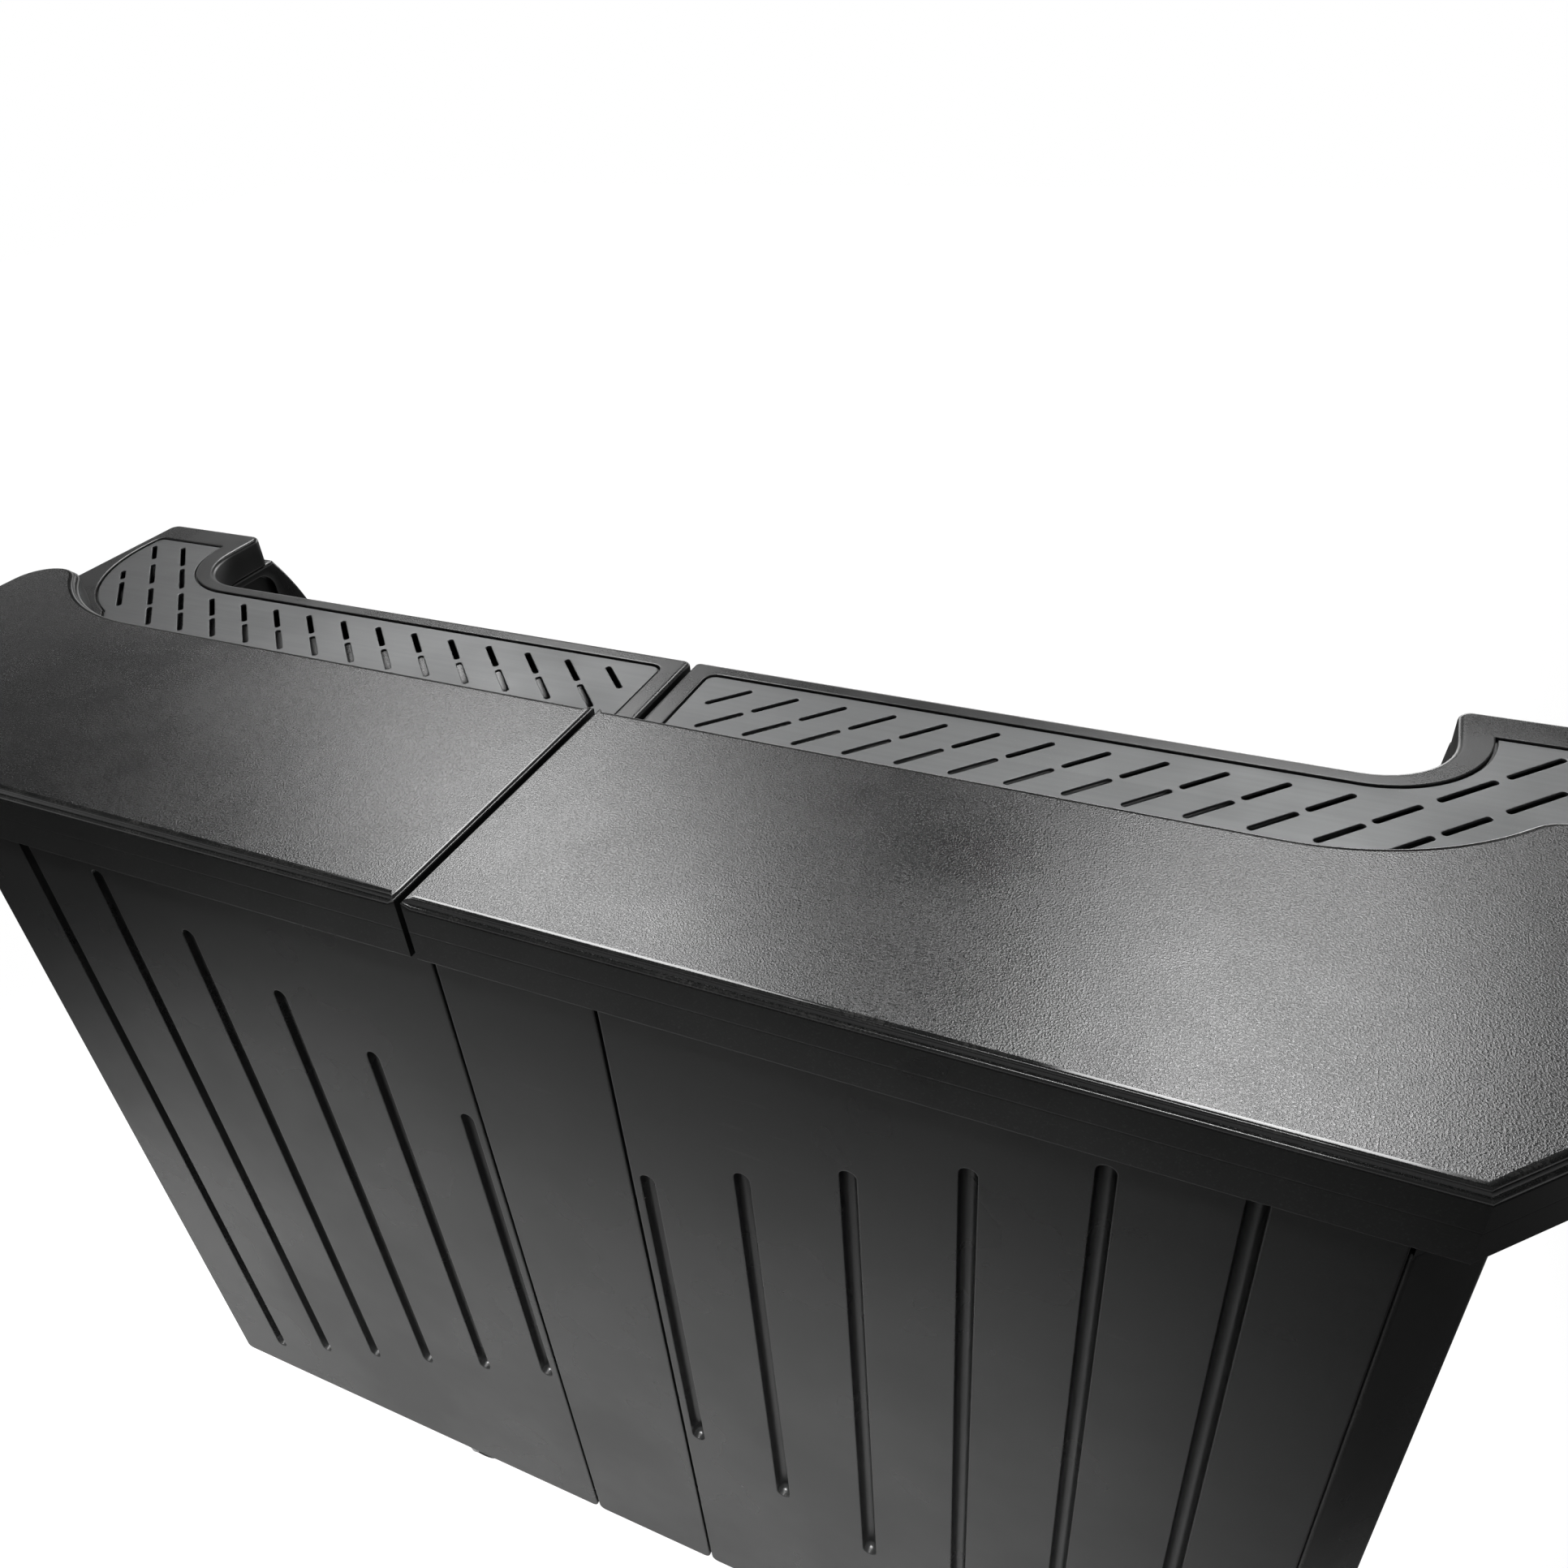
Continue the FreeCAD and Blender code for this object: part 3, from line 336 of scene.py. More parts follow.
class CasterSizes(bpy.types.PropertyGroup):
    """Sizes of the casters; the wheel trails along +X from the swivel axis."""

    front_left: length("Front left", -256, "Place of the front left caster along the counter", -1000)
    front_right: length("Front right", 390, "Place of the front right caster along the counter", -1000)
    rear_side: length("Rear side", 728, "Place of the rear casters along the counter")
    front_back: length("Front row", 43, "Distance of the front casters behind the panels' face")
    rear_back: length("Rear row", 440, "Distance of the rear casters behind the panels' face")
    wheel_radius: length("Wheel radius", 37.5, "Radius of a wheel")
    wheel_width: length("Wheel width", 24, "Width of the tyre")
    tyre_depth: length("Tyre depth", 10, "Thickness of the tyre")
    web: length("Web", 12, "Thickness of the wheel's centre")
    hub_radius: length("Hub radius", 10, "Radius of the hub")
    hub_width: length("Hub width", 26, "Width of the hub")
    axle_radius: length("Axle radius", 4, "Radius of the axle")
    head_radius: length("Axle head", 7, "Radius of the axle's head and nut")
    head_thickness: length("Axle head thickness", 5, "Thickness of the axle's head and nut")
    trail: length("Trail", 28, "Distance of the axle from the swivel axis")
    plate_length: length("Plate length", 84, "Length of the top plate")
    plate_width: length("Plate width", 62, "Width of the top plate")
    plate_thickness: length("Plate thickness", 3, "Thickness of the top plate")
    plate_corner: length("Plate corner", 8, "Radius of the top plate's corners")
    bolt_radius: length("Bolt radius", 5.5, "Radius of the top plate's bolts")
    bolt_thickness: length("Bolt thickness", 4, "Thickness of the bolts' heads")
    bolt_inset: length("Bolt inset", 10, "Distance of the bolts from the plate's edges")
    race_radius: length("Race radius", 21, "Radius of the ball race")
    race_height: length("Race height", 6, "Height of the ball race")
    swivel_gap: length("Swivel gap", 0.4, "Gap between the race and the fork's crown")
    crown_thickness: length("Crown thickness", 3, "Thickness of the fork's crown")
    crown_reach: length("Crown reach", 20, "How far the crown reaches ahead of the swivel axis")
    king_radius: length("King pin head", 9, "Radius of the king pin's head")
    king_thickness: length("King pin head thickness", 3, "Thickness of the king pin's head")
    fork_gap: length("Fork gap", 28.5, "Gap between the fork's legs")
    leg_thickness: length("Leg thickness", 3, "Thickness of a leg")
    leg_front: length("Leg front", 15, "How far a leg reaches ahead of the swivel axis")
    leg_drop: length("Leg drop", 12, "Height of a leg's front edge")
    boss_radius: length("Boss radius", 9, "Radius of a leg round the axle")
    pedal_reach: length("Pedal reach", 36, "Distance of the pedal's pivot from the swivel axis")
    pedal_drop: length("Pedal drop", 7.5, "Distance of the pedal's pivot below the crown")
    pedal_margin: length("Pedal margin", 8, "Leg round the pedal's pivot")
    pedal_barrel: length("Pedal barrel", 4, "Radius of the pedal's barrel")
    pedal_stub: length("Pedal stub", 2.5, "Radius of the pedal's stubs")
    pedal_length: length("Pedal length", 40, "Length of the pedal")
    pedal_thickness: length("Pedal thickness", 4, "Thickness of the pedal")
    pedal_shoe: length("Pedal shoe", 9, "Length of the pedal's bent end")
    pedal_shoe_depth: length("Pedal shoe depth", 5, "How far the pedal's end bends down")
    pedal_round: length("Pedal edge", 0.6, "Radius of the lever's edges")
    pedal_soft: length("Softened barrel", 0.5, "Softened ends of the pedal's barrel")
    pedal_rib: length("Pedal rib", 1.6, "Width of a rib on the pedal")
    pedal_rib_inset: length("Pedal rib inset", 3.5, "Distance of the ribs' ends from the pedal's sides")
    pedal_ribs: count("Pedal ribs", 4, "Ribs on a pedal")
    stem_radius: length("King pin radius", 5, "Radius of the king pin")
    plate_foot: length("Plate foot", 0.7, "Radius of the top plate's lower edge")
    plate_soft: length("Plate edge", 0.2, "Radius of the top plate's upper edge")
    race_step: length("Race step", 1, "Depth of the waist round the ball race")
    crown_corner: length("Crown corner", 6, "Radius of the crown's corners")
    leg_sink: length("Leg sink", 0.6, "How far a leg's end stays below the crown's face")
    axle_gap: length("Axle gap", 0.5, "Gap between the axle and its bores")
    fine: length("Fine edge", 0.4, "Small gaps and softened edges of pressed pieces")
    hair: length("Hair edge", 0.3, "Smallest softened edges")
    bore_soft: length("Bore edge", 0.6, "Softened edge of the hub's bore")
    hub_soft: length("Hub edge", 1, "Softened edge of the hub")
    dish: length("Dish", 1.2, "Height of the hollows between the web and what stands on it")
    dish_run: length("Dish run", 2.2, "Run of the hollow beside the hub")
    rim_foot: length("Rim foot", 6.2, "Where the hollow beside the rim starts, from the tyre")
    rim_wall: length("Rim wall", 4.2, "Thickness of the wheel centre's rim")
    rim_soft: length("Rim edge", 0.8, "Softened edge of the rim and the tyre's foot")
    rim_sink: length("Rim sink", 1, "How far the rim lies inside the tyre's side")
    rib_width: length("Rib width", 4.4, "Width of a rib on the wheel's centre")
    rib_height: length("Rib height", 4, "Height of a rib above the web")
    rib_end: length("Rib end", 4, "Distance of a rib's end from the tyre")
    rib_sink: length("Rib sink", 0.5, "How far a rib runs into the web")
    rib_overlap: length("Rib overlap", 0.6, "How far a rib runs into the hub")
    rib_slope: length("Rib slope", 0.7, "Run of a rib's softened edge")
    rib_soft: length("Rib edge", 0.6, "Drop of a rib's softened edge")
    ribs: count("Ribs", 6, "Ribs on each side of a wheel's centre")


class Finishes(bpy.types.PropertyGroup):
    """Colours of the finishes."""

    grained: colour("Grained plastic", (0.0095, 0.0098, 0.0097), "Tops and decks")
    satin: colour("Satin plastic", (0.0125, 0.0128, 0.0128), "Panels, strip and walls")
    shelf: colour("Shelf plastic", (0.04, 0.04, 0.041), "Shelves and posts")
    drip: colour("Drip metal", (0.103, 0.105, 0.106), "Drip plates")
    hinge: colour("Hinge steel", (0.03, 0.03, 0.031), "Leaves and pins")
    zinc: colour("Zinc plate", (0.5, 0.5, 0.505), "Caster steel")
    tyre: colour("Tyre", (0.045, 0.045, 0.047), "Tyres")
    centre: colour("Wheel centre", (0.085, 0.086, 0.088), "Wheel centres")
    pedal: colour("Pedal", (0.02, 0.02, 0.02), "Brake pedals")
    dust: colour("Dust", (0.24, 0.235, 0.225), "Dust and scuffs")
    floor: colour("Floor", (0.2, 0.2, 0.199), "Floor")


class StageSizes(bpy.types.PropertyGroup):
    """Camera, lamps and floor."""

    camera_place: FloatVectorProperty(
        name="Camera place", description="Place of the camera", subtype="XYZ", unit="LENGTH", size=3,
        default=(0.6463, -0.9391, 1.7764),
    )
    camera_turn: FloatVectorProperty(
        name="Camera turn", description="Turn of the camera about X, Y and Z", subtype="EULER", size=3,
        default=(math.radians(55.2246), math.radians(3.8163), math.radians(23.9781)),
    )
    lens: FloatProperty(
        name="Lens", description="Focal length on a 36 mm frame", default=28.78, unit="CAMERA", min=1.0
    )
    floor_half: length("Floor half width", 9000, "Half width of the floor")
    floor_glow: share("Floor glow", 0.95, "Light that the floor shows of itself, so that it reads as white")
    # Painted shade: share of its colour that the floor keeps to the right of the counter
    floor_dark: share("Floor at the right", 0.2, "Share of its paint that the floor keeps at the right")
    floor_front: share("Floor before", 0.03, "Share of that light that reflections show before the counter")
    floor_back: share("Floor behind", 0.5, "Share of that light that reflections show behind the counter")
    ambient: share("Ambient", 0.1, "Level of the light from all round")
    ceiling: share("Ceiling", 0.05, "Level of the dim ceiling that reflections show behind the counter")
    front_ceiling: share("Front ceiling", 0.3, "Level of the ceiling that reflections show in front")
    backdrop_end: angle_of("Backdrop end", 6, "Angle above the horizon where the white backdrop ends")
    ceiling_start: angle_of("Ceiling start", 20, "Angle above the horizon where the dim ceiling starts")
    left_power: power("Left lamp", 11.2, "Power of the left softbox")
    right_power: power("Right lamp", 10.3, "Power of the right softbox")
    front_power: power("Front lamp", 22.0, "Power of the front fill")
    back_power: power("Back lamp", 15.0, "Power of the back fill")


class CounterSettings(bpy.types.PropertyGroup):
    """All sizes and colours of the bar counter."""

    tops: PointerProperty(type=TopSizes)
    decks: PointerProperty(type=DeckSizes)
    plates: PointerProperty(type=PlateSizes)
    fronts: PointerProperty(type=FrontSizes)
    walls: PointerProperty(type=WallSizes)
    shelves: PointerProperty(type=ShelfSizes)
    hinges: PointerProperty(type=HingeSizes)
    casters: PointerProperty(type=CasterSizes)
    finishes: PointerProperty(type=Finishes)
    stage: PointerProperty(type=StageSizes)


def front_plane(sizes):
    """World y of the front panels' face."""
    return (sizes.tops.overhang - sizes.walls.back) / 2


def panel_reach(sizes, side):
    """Outer edge of the front panel on one side."""
    return sizes.fronts.right_reach if side > 0 else sizes.fronts.left_reach


def deck_level(sizes):
    """Height of the decks' upper face."""
    return sizes.tops.height - sizes.tops.thickness


# Outlines


def mirrored(path, side):
    """Outline of (x, y, bend) points for one side; a bend is the (radius, turn, steps) of the next run."""
    return [(x * side, y, bend and (bend[0], bend[1] * side, bend[2])) for x, y, bend in path]


def rounded(corners, steps=6):
    """Outline whose corners, given as (x, y, radius), are rounded where the radius isn't zero."""
    path = []
    for i, (x, y, radius) in enumerate(corners):
        if not radius:
            path.append((x, y, None))
            continue
        here = Vector((x, y))
        into = (here - Vector(corners[i - 1][:2])).normalized()
        out = (Vector(corners[(i + 1) % len(corners)][:2]) - here).normalized()
        turn = 1 if into.cross(out) > 0 else -1
        setback = radius * math.tan(into.angle(out) / 2)
        start = here - into * setback
        end = here + out * setback
        path.append((start.x, start.y, (radius, turn, steps)))
        path.append((end.x, end.y, None))
    return path


def sampled(path, longest=0.06, guard=0.008):
    """Points along a closed outline; straight runs are divided, with a point close to each end."""
    points = []
    for i, (x, y, bend) in enumerate(path):
        nx, ny, _ = path[(i + 1) % len(path)]
        chord = math.hypot(nx - x, ny - y)
        points.append((x, y))
        if bend is None:
            if chord > 3 * guard:
                runs = max(1, math.ceil((chord - 2 * guard) / longest))
                shares = [(guard + (chord - 2 * guard) * k / runs) / chord for k in range(runs + 1)]
                points += [(x + (nx - x) * s, y + (ny - y) * s) for s in shares]
            continue
        radius, turn, steps = bend
        rise = math.sqrt(max(radius * radius - chord * chord / 4, 0.0))
        cx = (x + nx) / 2 - (ny - y) / chord * rise * turn
        cy = (y + ny) / 2 + (nx - x) / chord * rise * turn
        first = math.atan2(y - cy, x - cx)
        last = math.atan2(ny - cy, nx - cx)
        sweep = (last - first) % math.tau if turn > 0 else -((first - last) % math.tau)
        for k in range(1, steps):
            angle = first + sweep * k / steps
            points.append((cx + radius * math.cos(angle), cy + radius * math.sin(angle)))
    return np.array(points)


def inset(points, distance):
    """Outline moved inwards by a distance, one for all points or one for each."""
    along = np.roll(points, -1, 0) - points
    along /= np.linalg.norm(along, axis=1)[:, None]
    x, y = points[:, 0], points[:, 1]
    turn = np.sign(np.sum(x * np.roll(y, -1) - np.roll(x, -1) * y))
    inward = np.column_stack((-along[:, 1], along[:, 0])) * turn
    both = inward + np.roll(inward, 1, 0)
    spread = np.maximum(np.sum(both * both, axis=1), SHARPEST)
    return points + both * (2 * np.broadcast_to(distance, len(points)) / spread)[:, None]


def capsule(x, y, half, radius, steps=8):
    """Upright round-ended outline about a middle point; half is half of its straight run."""
    angles = [math.pi * k / steps for k in range(steps + 1)]
    upper = [(x + radius * math.cos(a), y + half + radius * math.sin(a)) for a in angles]
    lower = [(x - radius * math.cos(a), y - half - radius * math.sin(a)) for a in angles]
    return np.array(upper + lower)


def circle(radius, steps):
    angles = np.arange(steps) * math.tau / steps
    return np.column_stack((np.cos(angles), np.sin(angles))) * radius


def turned_by(spot, angle):
    """Point turned about the origin of its plane."""
    u, v = spot
    return u * math.cos(angle) - v * math.sin(angle), u * math.sin(angle) + v * math.cos(angle)


# Skins: closed surfaces made of rings of points and flat fields between them


def flat_place(x=0.0, y=0.0, z=0.0):
    """Board that lies level: outline in X and Y, height along Z."""
    return lambda u, v, h: (x + u, y + v, z + h)


def upright_place(y):
    """Board that stands across the counter: outline in X and Z, height towards the guests."""
    return lambda u, v, h: (u, y - h, v)


def axle_place(x, y, z):
    """Turned piece about an axle along Y."""
    return lambda u, v, h: (x + u, y + h, z + v)


def within(spots, starts, ends):
    """Which spots lie inside closed outlines, given by the starts and ends of their sides."""
    x, y = spots[:, :1], spots[:, 1:]
    spans = (starts[:, 1] > y) != (ends[:, 1] > y)
    rise = np.where(ends[:, 1] == starts[:, 1], 1.0, ends[:, 1] - starts[:, 1])
    reach = starts[:, 0] + (y - starts[:, 1]) * (ends[:, 0] - starts[:, 0]) / rise
    return np.sum(spans & (x < reach), axis=1) % 2 == 1


def slim(corners):
    """Which triangles have next to no width."""
    sides = corners - np.roll(corners, 1, axis=1)
    doubled = np.abs(sides[:, 0, 0] * sides[:, 1, 1] - sides[:, 0, 1] * sides[:, 1, 0])
    return doubled < SAME_PLACE * np.hypot(sides[:, :, 0], sides[:, :, 1]).max(axis=1)


class Skin:
    """Surface of one piece while it is built; wear runs from 0 in the fields to 1 on the edges."""

    def __init__(self, place):
        self.place = place
        self.plan = []
        self.points = []
        self.wear = []
        self.faces = []

    def ring(self, loop, height, wear=0.0):
        """Add a ring of points at one height, or at a height for each point."""
        start = len(self.points)
        for (u, v), h in zip(loop, np.broadcast_to(height, len(loop))):
            self.plan.append((u, v))
            self.points.append(self.place(u, v, h))
            self.wear.append(wear)
        return list(range(start, len(self.points)))

    def band(self, low, high):
        """Join two rings of the same length by faces."""
        for i in range(len(low)):
            j = (i + 1) % len(low)
            self.faces.append((low[i], low[j], high[j], high[i]))

    def stack(self, rings):
        """Add rings given as (loop, height, wear), join them in order and give back the first and last."""
        made = [self.ring(*ring) for ring in rings]
        for low, high in zip(made, made[1:]):
            self.band(low, high)
        return made[0], made[-1]

    def fill(self, outer, holes=(), lines=()):
        """Flat field inside one ring and outside others; lines are pairs of points to keep as edges."""
        loops = [outer, *holes]
        ids = [i for loop in loops for i in loop]
        spot = {i: k for k, i in enumerate(ids)}
        sides = [(spot[a], spot[b]) for loop in loops for a, b in zip(loop, loop[1:] + loop[:1])]
        kept = [(spot[a], spot[b]) for a, b in lines]
        places = [Vector(self.plan[i]) for i in ids]
        _, _, faces, sources, _, _ = delaunay_2d_cdt(places, sides + kept, [], 0, FIELD_LIMIT)
        if any(not source for source in sources):
            raise ValueError("outlines cross each other")
        origin = [ids[source[0]] for source in sources]
        triangles = [tuple(origin[k] for k in face) for face in faces]
        corners = np.array([[self.plan[k] for k in t] for t in triangles])
        starts, ends = [np.array([self.plan[ids[k]] for k in column]) for column in zip(*sides)]
        wanted = within(corners.mean(axis=1), starts, ends) & ~slim(corners)
        self.faces += [t for t, keep in zip(triangles, wanted) if keep]

    def block(self, rings):
        """Stack of rings that is closed by a flat field at each end."""
        for end in self.stack(rings):
            self.fill(end)

    def turned(self, profile, steps=32):
        """Turned surface from (radius, height, wear) points; a radius of zero closes an end."""
        tiny = SAME_PLACE / 10
        self.stack([(circle(max(r, tiny), steps), h, w) for r, h, w in profile])

    def moved(self, place):
        """Go on with another place for the points that follow."""
        self.place = place


def rim(radius, top, steps=5):
    """Quarter round from a side up to a top, as (inset, height, wear)."""
    angles = [QUARTER * k / steps for k in range(steps + 1)]
    return [(radius * (1 - math.cos(a)), top - radius * (1 - math.sin(a)), math.sin(2 * a)) for a in angles]


def foot(radius, bottom, steps=3):
    """Quarter round from an underside out to a side, as (inset, height, wear)."""
    return [(i, 2 * bottom - h, wear / 2) for i, h, wear in reversed(rim(radius, bottom, steps))]


def board(skin, loop, bottom, top, under, over, support=WIDE_SUPPORT, holes=(), sinks=()):
    """Board with rounded edges, under and over being the radii of its lower and upper ones.

    Holes go right through it and sinks end in their own floor. Each is a list of (loop, height, wear) from
    the upper face down; the wear of a sink's last ring is None where it has no width and needs no floor.
    """
    profile = foot(under, bottom) + rim(over, top)
    if support:
        profile.append((over + support, top, 0.0))
    first, last = skin.stack([(inset(loop, i), h, w) for i, h, w in profile])
    mouths, exits = [], []
    for rings in (*holes, *sinks):
        around = (inset(rings[0][0], -NARROW_SUPPORT), rings[0][1], 0.0)
        mouth, end = skin.stack([around, *rings])
        mouths.append(mouth)
        if any(rings is hole for hole in holes):
            exits.append(end)
        elif rings[-1][2] is not None:
            skin.fill(end)
    skin.fill(last, mouths)
    skin.fill(first, exits)


def finished(sizes, skin, name, body, slot, node=None, finish=None):
    """Turn a skin into a piece that rides on a body; a finish is named where it isn't the slot's own."""
    mesh = bpy.data.meshes.new(name)
    mesh.from_pydata(skin.points, [], skin.faces)
    wear = mesh.attributes.new(WEAR_LAYER, "FLOAT", "POINT")
    wear.data.foreach_set("value", [w or 0.0 for w in skin.wear])
    work = bmesh.new()
    work.from_mesh(mesh)
    bmesh.ops.remove_doubles(work, verts=work.verts, dist=SAME_PLACE)
    bmesh.ops.dissolve_degenerate(work, edges=work.edges, dist=SAME_PLACE)
    bmesh.ops.recalc_face_normals(work, faces=work.faces)
    work.to_mesh(mesh)
    work.free()
    mesh.shade_smooth()
    mesh.set_sharp_from_angle(angle=SHARP_ANGLE)
    mesh.materials.append(finish_of(sizes, finish or slot))
    piece = bpy.data.objects.new(name, mesh)
    bpy.context.scene.collection.objects.link(piece)
    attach(piece, body)
    if node:
        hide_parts(node)


# Finishes


def group_of(name, inputs, outputs):
    """New shader group with number sockets; gives the tree and its two ends."""
    tree = bpy.data.node_groups.new(name, "ShaderNodeTree")
    for word, value in inputs.items():
        socket = tree.interface.new_socket(name=word, in_out="INPUT", socket_type="NodeSocketFloat")
        socket.default_value = value
    for word in outputs:
        tree.interface.new_socket(name=word, in_out="OUTPUT", socket_type="NodeSocketFloat")
    return tree, tree.nodes.new("NodeGroupInput"), tree.nodes.new("NodeGroupOutput")


def link(tree, source, target):
    """Feed a socket from another one, or set it to a plain number or colour."""
    if isinstance(source, bpy.types.NodeSocket):
        tree.links.new(source, target)
    else:
        target.default_value = source


def math_node(tree, kind, first, second, clamp=False):
    made = tree.nodes.new("ShaderNodeMath")
    made.operation = kind
    made.use_clamp = clamp
    link(tree, first, made.inputs[0])
    link(tree, second, made.inputs[1])
    return made.outputs[0]


def times(tree, first, second, clamp=False):
    return math_node(tree, "MULTIPLY", first, second, clamp)


def less(tree, first, second):
    return math_node(tree, "SUBTRACT", first, second)


def between(tree, value, low, high, to_low=0.0, to_high=1.0):
    """Smooth change of a value from one range to another."""
    made = tree.nodes.new("ShaderNodeMapRange")
    made.interpolation_type = "SMOOTHSTEP"
    ends = {"Value": value, "From Min": low, "From Max": high, "To Min": to_low, "To Max": to_high}
    for word, end in ends.items():
        link(tree, end, made.inputs[word])
    return made.outputs["Result"]


def noise(tree, where, scale, detail=2.0, roughness=0.5):
    made = tree.nodes.new("ShaderNodeTexNoise")
    for word, value in (("Vector", where), ("Scale", scale), ("Detail", detail), ("Roughness", roughness)):
        link(tree, value, made.inputs[word])
    return made.outputs["Fac"]


def apart(tree, vector):
    """Outputs X, Y and Z of a vector."""
    made = tree.nodes.new("ShaderNodeSeparateXYZ")
    link(tree, vector, made.inputs[0])
    return made.outputs


def piece_coordinates(tree, stretch=None):
    """Coordinates fixed to the piece, stretched along its axes where asked."""
    where = tree.nodes.new("ShaderNodeTexCoord").outputs["Object"]
    if stretch is None:
        return where
    mapping = tree.nodes.new("ShaderNodeMapping")
    link(tree, stretch, mapping.inputs["Scale"])
    link(tree, where, mapping.inputs["Vector"])
    return mapping.outputs["Vector"]


def leathery_grain():
    """Fine pebbled mould grain: a height for the bump and a fleck mask."""
    tree, start, end = group_of("leathery_grain", {"Scale": 300.0}, ("Height", "Fleck"))
    pebbles = noise(tree, piece_coordinates(tree), start.outputs["Scale"], roughness=0.62)
    link(tree, between(tree, pebbles, 0.28, 0.72), end.inputs["Height"])
    link(tree, between(tree, pebbles, 0.55, 0.72), end.inputs["Fleck"])
    return tree


def edge_rub():
    """Wear along rounded edges, broken up so that it is never even."""
    tree, start, end = group_of("edge_rub", {"Amount": 0.5}, ("Mask", "Edge"))
    edge = tree.nodes.new("ShaderNodeAttribute")
    edge.attribute_name = WEAR_LAYER
    where = piece_coordinates(tree)
    patches = between(tree, noise(tree, where, 14.0, detail=3.0, roughness=0.6), 0.42, 0.68)
    specks = between(tree, noise(tree, where, 420.0, roughness=0.6), 0.4, 0.62)
    rubbed = times(tree, times(tree, patches, specks), edge.outputs["Fac"])
    link(tree, times(tree, rubbed, start.outputs["Amount"], True), end.inputs["Mask"])
    link(tree, edge.outputs["Fac"], end.inputs["Edge"])
    return tree


def handling_marks():
    """Dull wiped patches, fine scuffs and settled dust, and where a face is level."""
    tree, start, end = group_of("handling_marks", {"Scuffs": 0.5}, ("Patches", "Scuff", "Dust", "Level"))
    where = piece_coordinates(tree)
    link(tree, noise(tree, where, 5.0, detail=3.0, roughness=0.6), end.inputs["Patches"])
    strokes = noise(tree, piece_coordinates(tree, (14.0, 160.0, 90.0)), 1.0, roughness=0.55)
    breaks = between(tree, noise(tree, where, 7.0), 0.5, 0.66)
    scuff = times(tree, between(tree, strokes, 0.66, 0.74), breaks)
    link(tree, times(tree, scuff, start.outputs["Scuffs"], True), end.inputs["Scuff"])
    facing = apart(tree, tree.nodes.new("ShaderNodeNewGeometry").outputs["Normal"])
    level = between(tree, facing["Z"], 0.6, 1.0)
    grit = between(tree, noise(tree, where, 650.0, roughness=0.7), 0.6, 0.78)
    drift = between(tree, noise(tree, where, 9.0, detail=3.0), 0.4, 0.75)
    link(tree, times(tree, times(tree, grit, drift), level), end.inputs["Dust"])
    link(tree, level, end.inputs["Level"])
    return tree


def brushed_lines():
    """Fine drawn lines of rolled sheet, along X."""
    tree, start, end = group_of("brushed_lines", {"Fineness": 1.0}, ("Height", "Shade"))
    fine = noise(tree, piece_coordinates(tree, (12.0, 1500.0, 1500.0)), start.outputs["Fineness"], detail=3.0)
    broad = noise(tree, piece_coordinates(tree, (3.0, 160.0, 160.0)), 1.0, detail=3.0, roughness=0.6)
    link(tree, fine, end.inputs["Height"])
    link(tree, broad, end.inputs["Shade"])
    return tree


def place_group(tree, build, **values):
    """Node for a shader group, which is built on its first use."""
    made = tree.nodes.new("ShaderNodeGroup")
    made.node_tree = bpy.data.node_groups.get(build.__name__) or build()
    for word, value in values.items():
        made.inputs[word].default_value = value
    return made.outputs


def mixed(tree, amount, first, second):
    """Colour mix; each side is a socket or a plain colour."""
    made = tree.nodes.new("ShaderNodeMix")
    made.data_type = "RGBA"
    link(tree, amount, made.inputs["Factor"])
    for socket, value in ((made.inputs[6], first), (made.inputs[7], second)):
        link(tree, value if isinstance(value, bpy.types.NodeSocket) else (*value, 1.0), socket)
    return made.outputs[2]


def tinted(base, factor):
    return tuple(min(1.0, c * factor) for c in base)


def new_material(name, base, specular):
    """Material with a Principled shader whose even values are set on its own sockets."""
    made = bpy.data.materials.new(name)
    made.use_nodes = True
    made.diffuse_color = (*base, 1.0)
    shader = made.node_tree.nodes["Principled BSDF"]
    shader.inputs["Specular IOR Level"].default_value = specular
    return made, made.node_tree, shader


def bump(tree, shader, height, strength, distance):
    made = tree.nodes.new("ShaderNodeBump")
    made.inputs["Strength"].default_value = strength
    made.inputs["Distance"].default_value = distance
    link(tree, height, made.inputs["Height"])
    link(tree, made.outputs["Normal"], shader.inputs["Normal"])


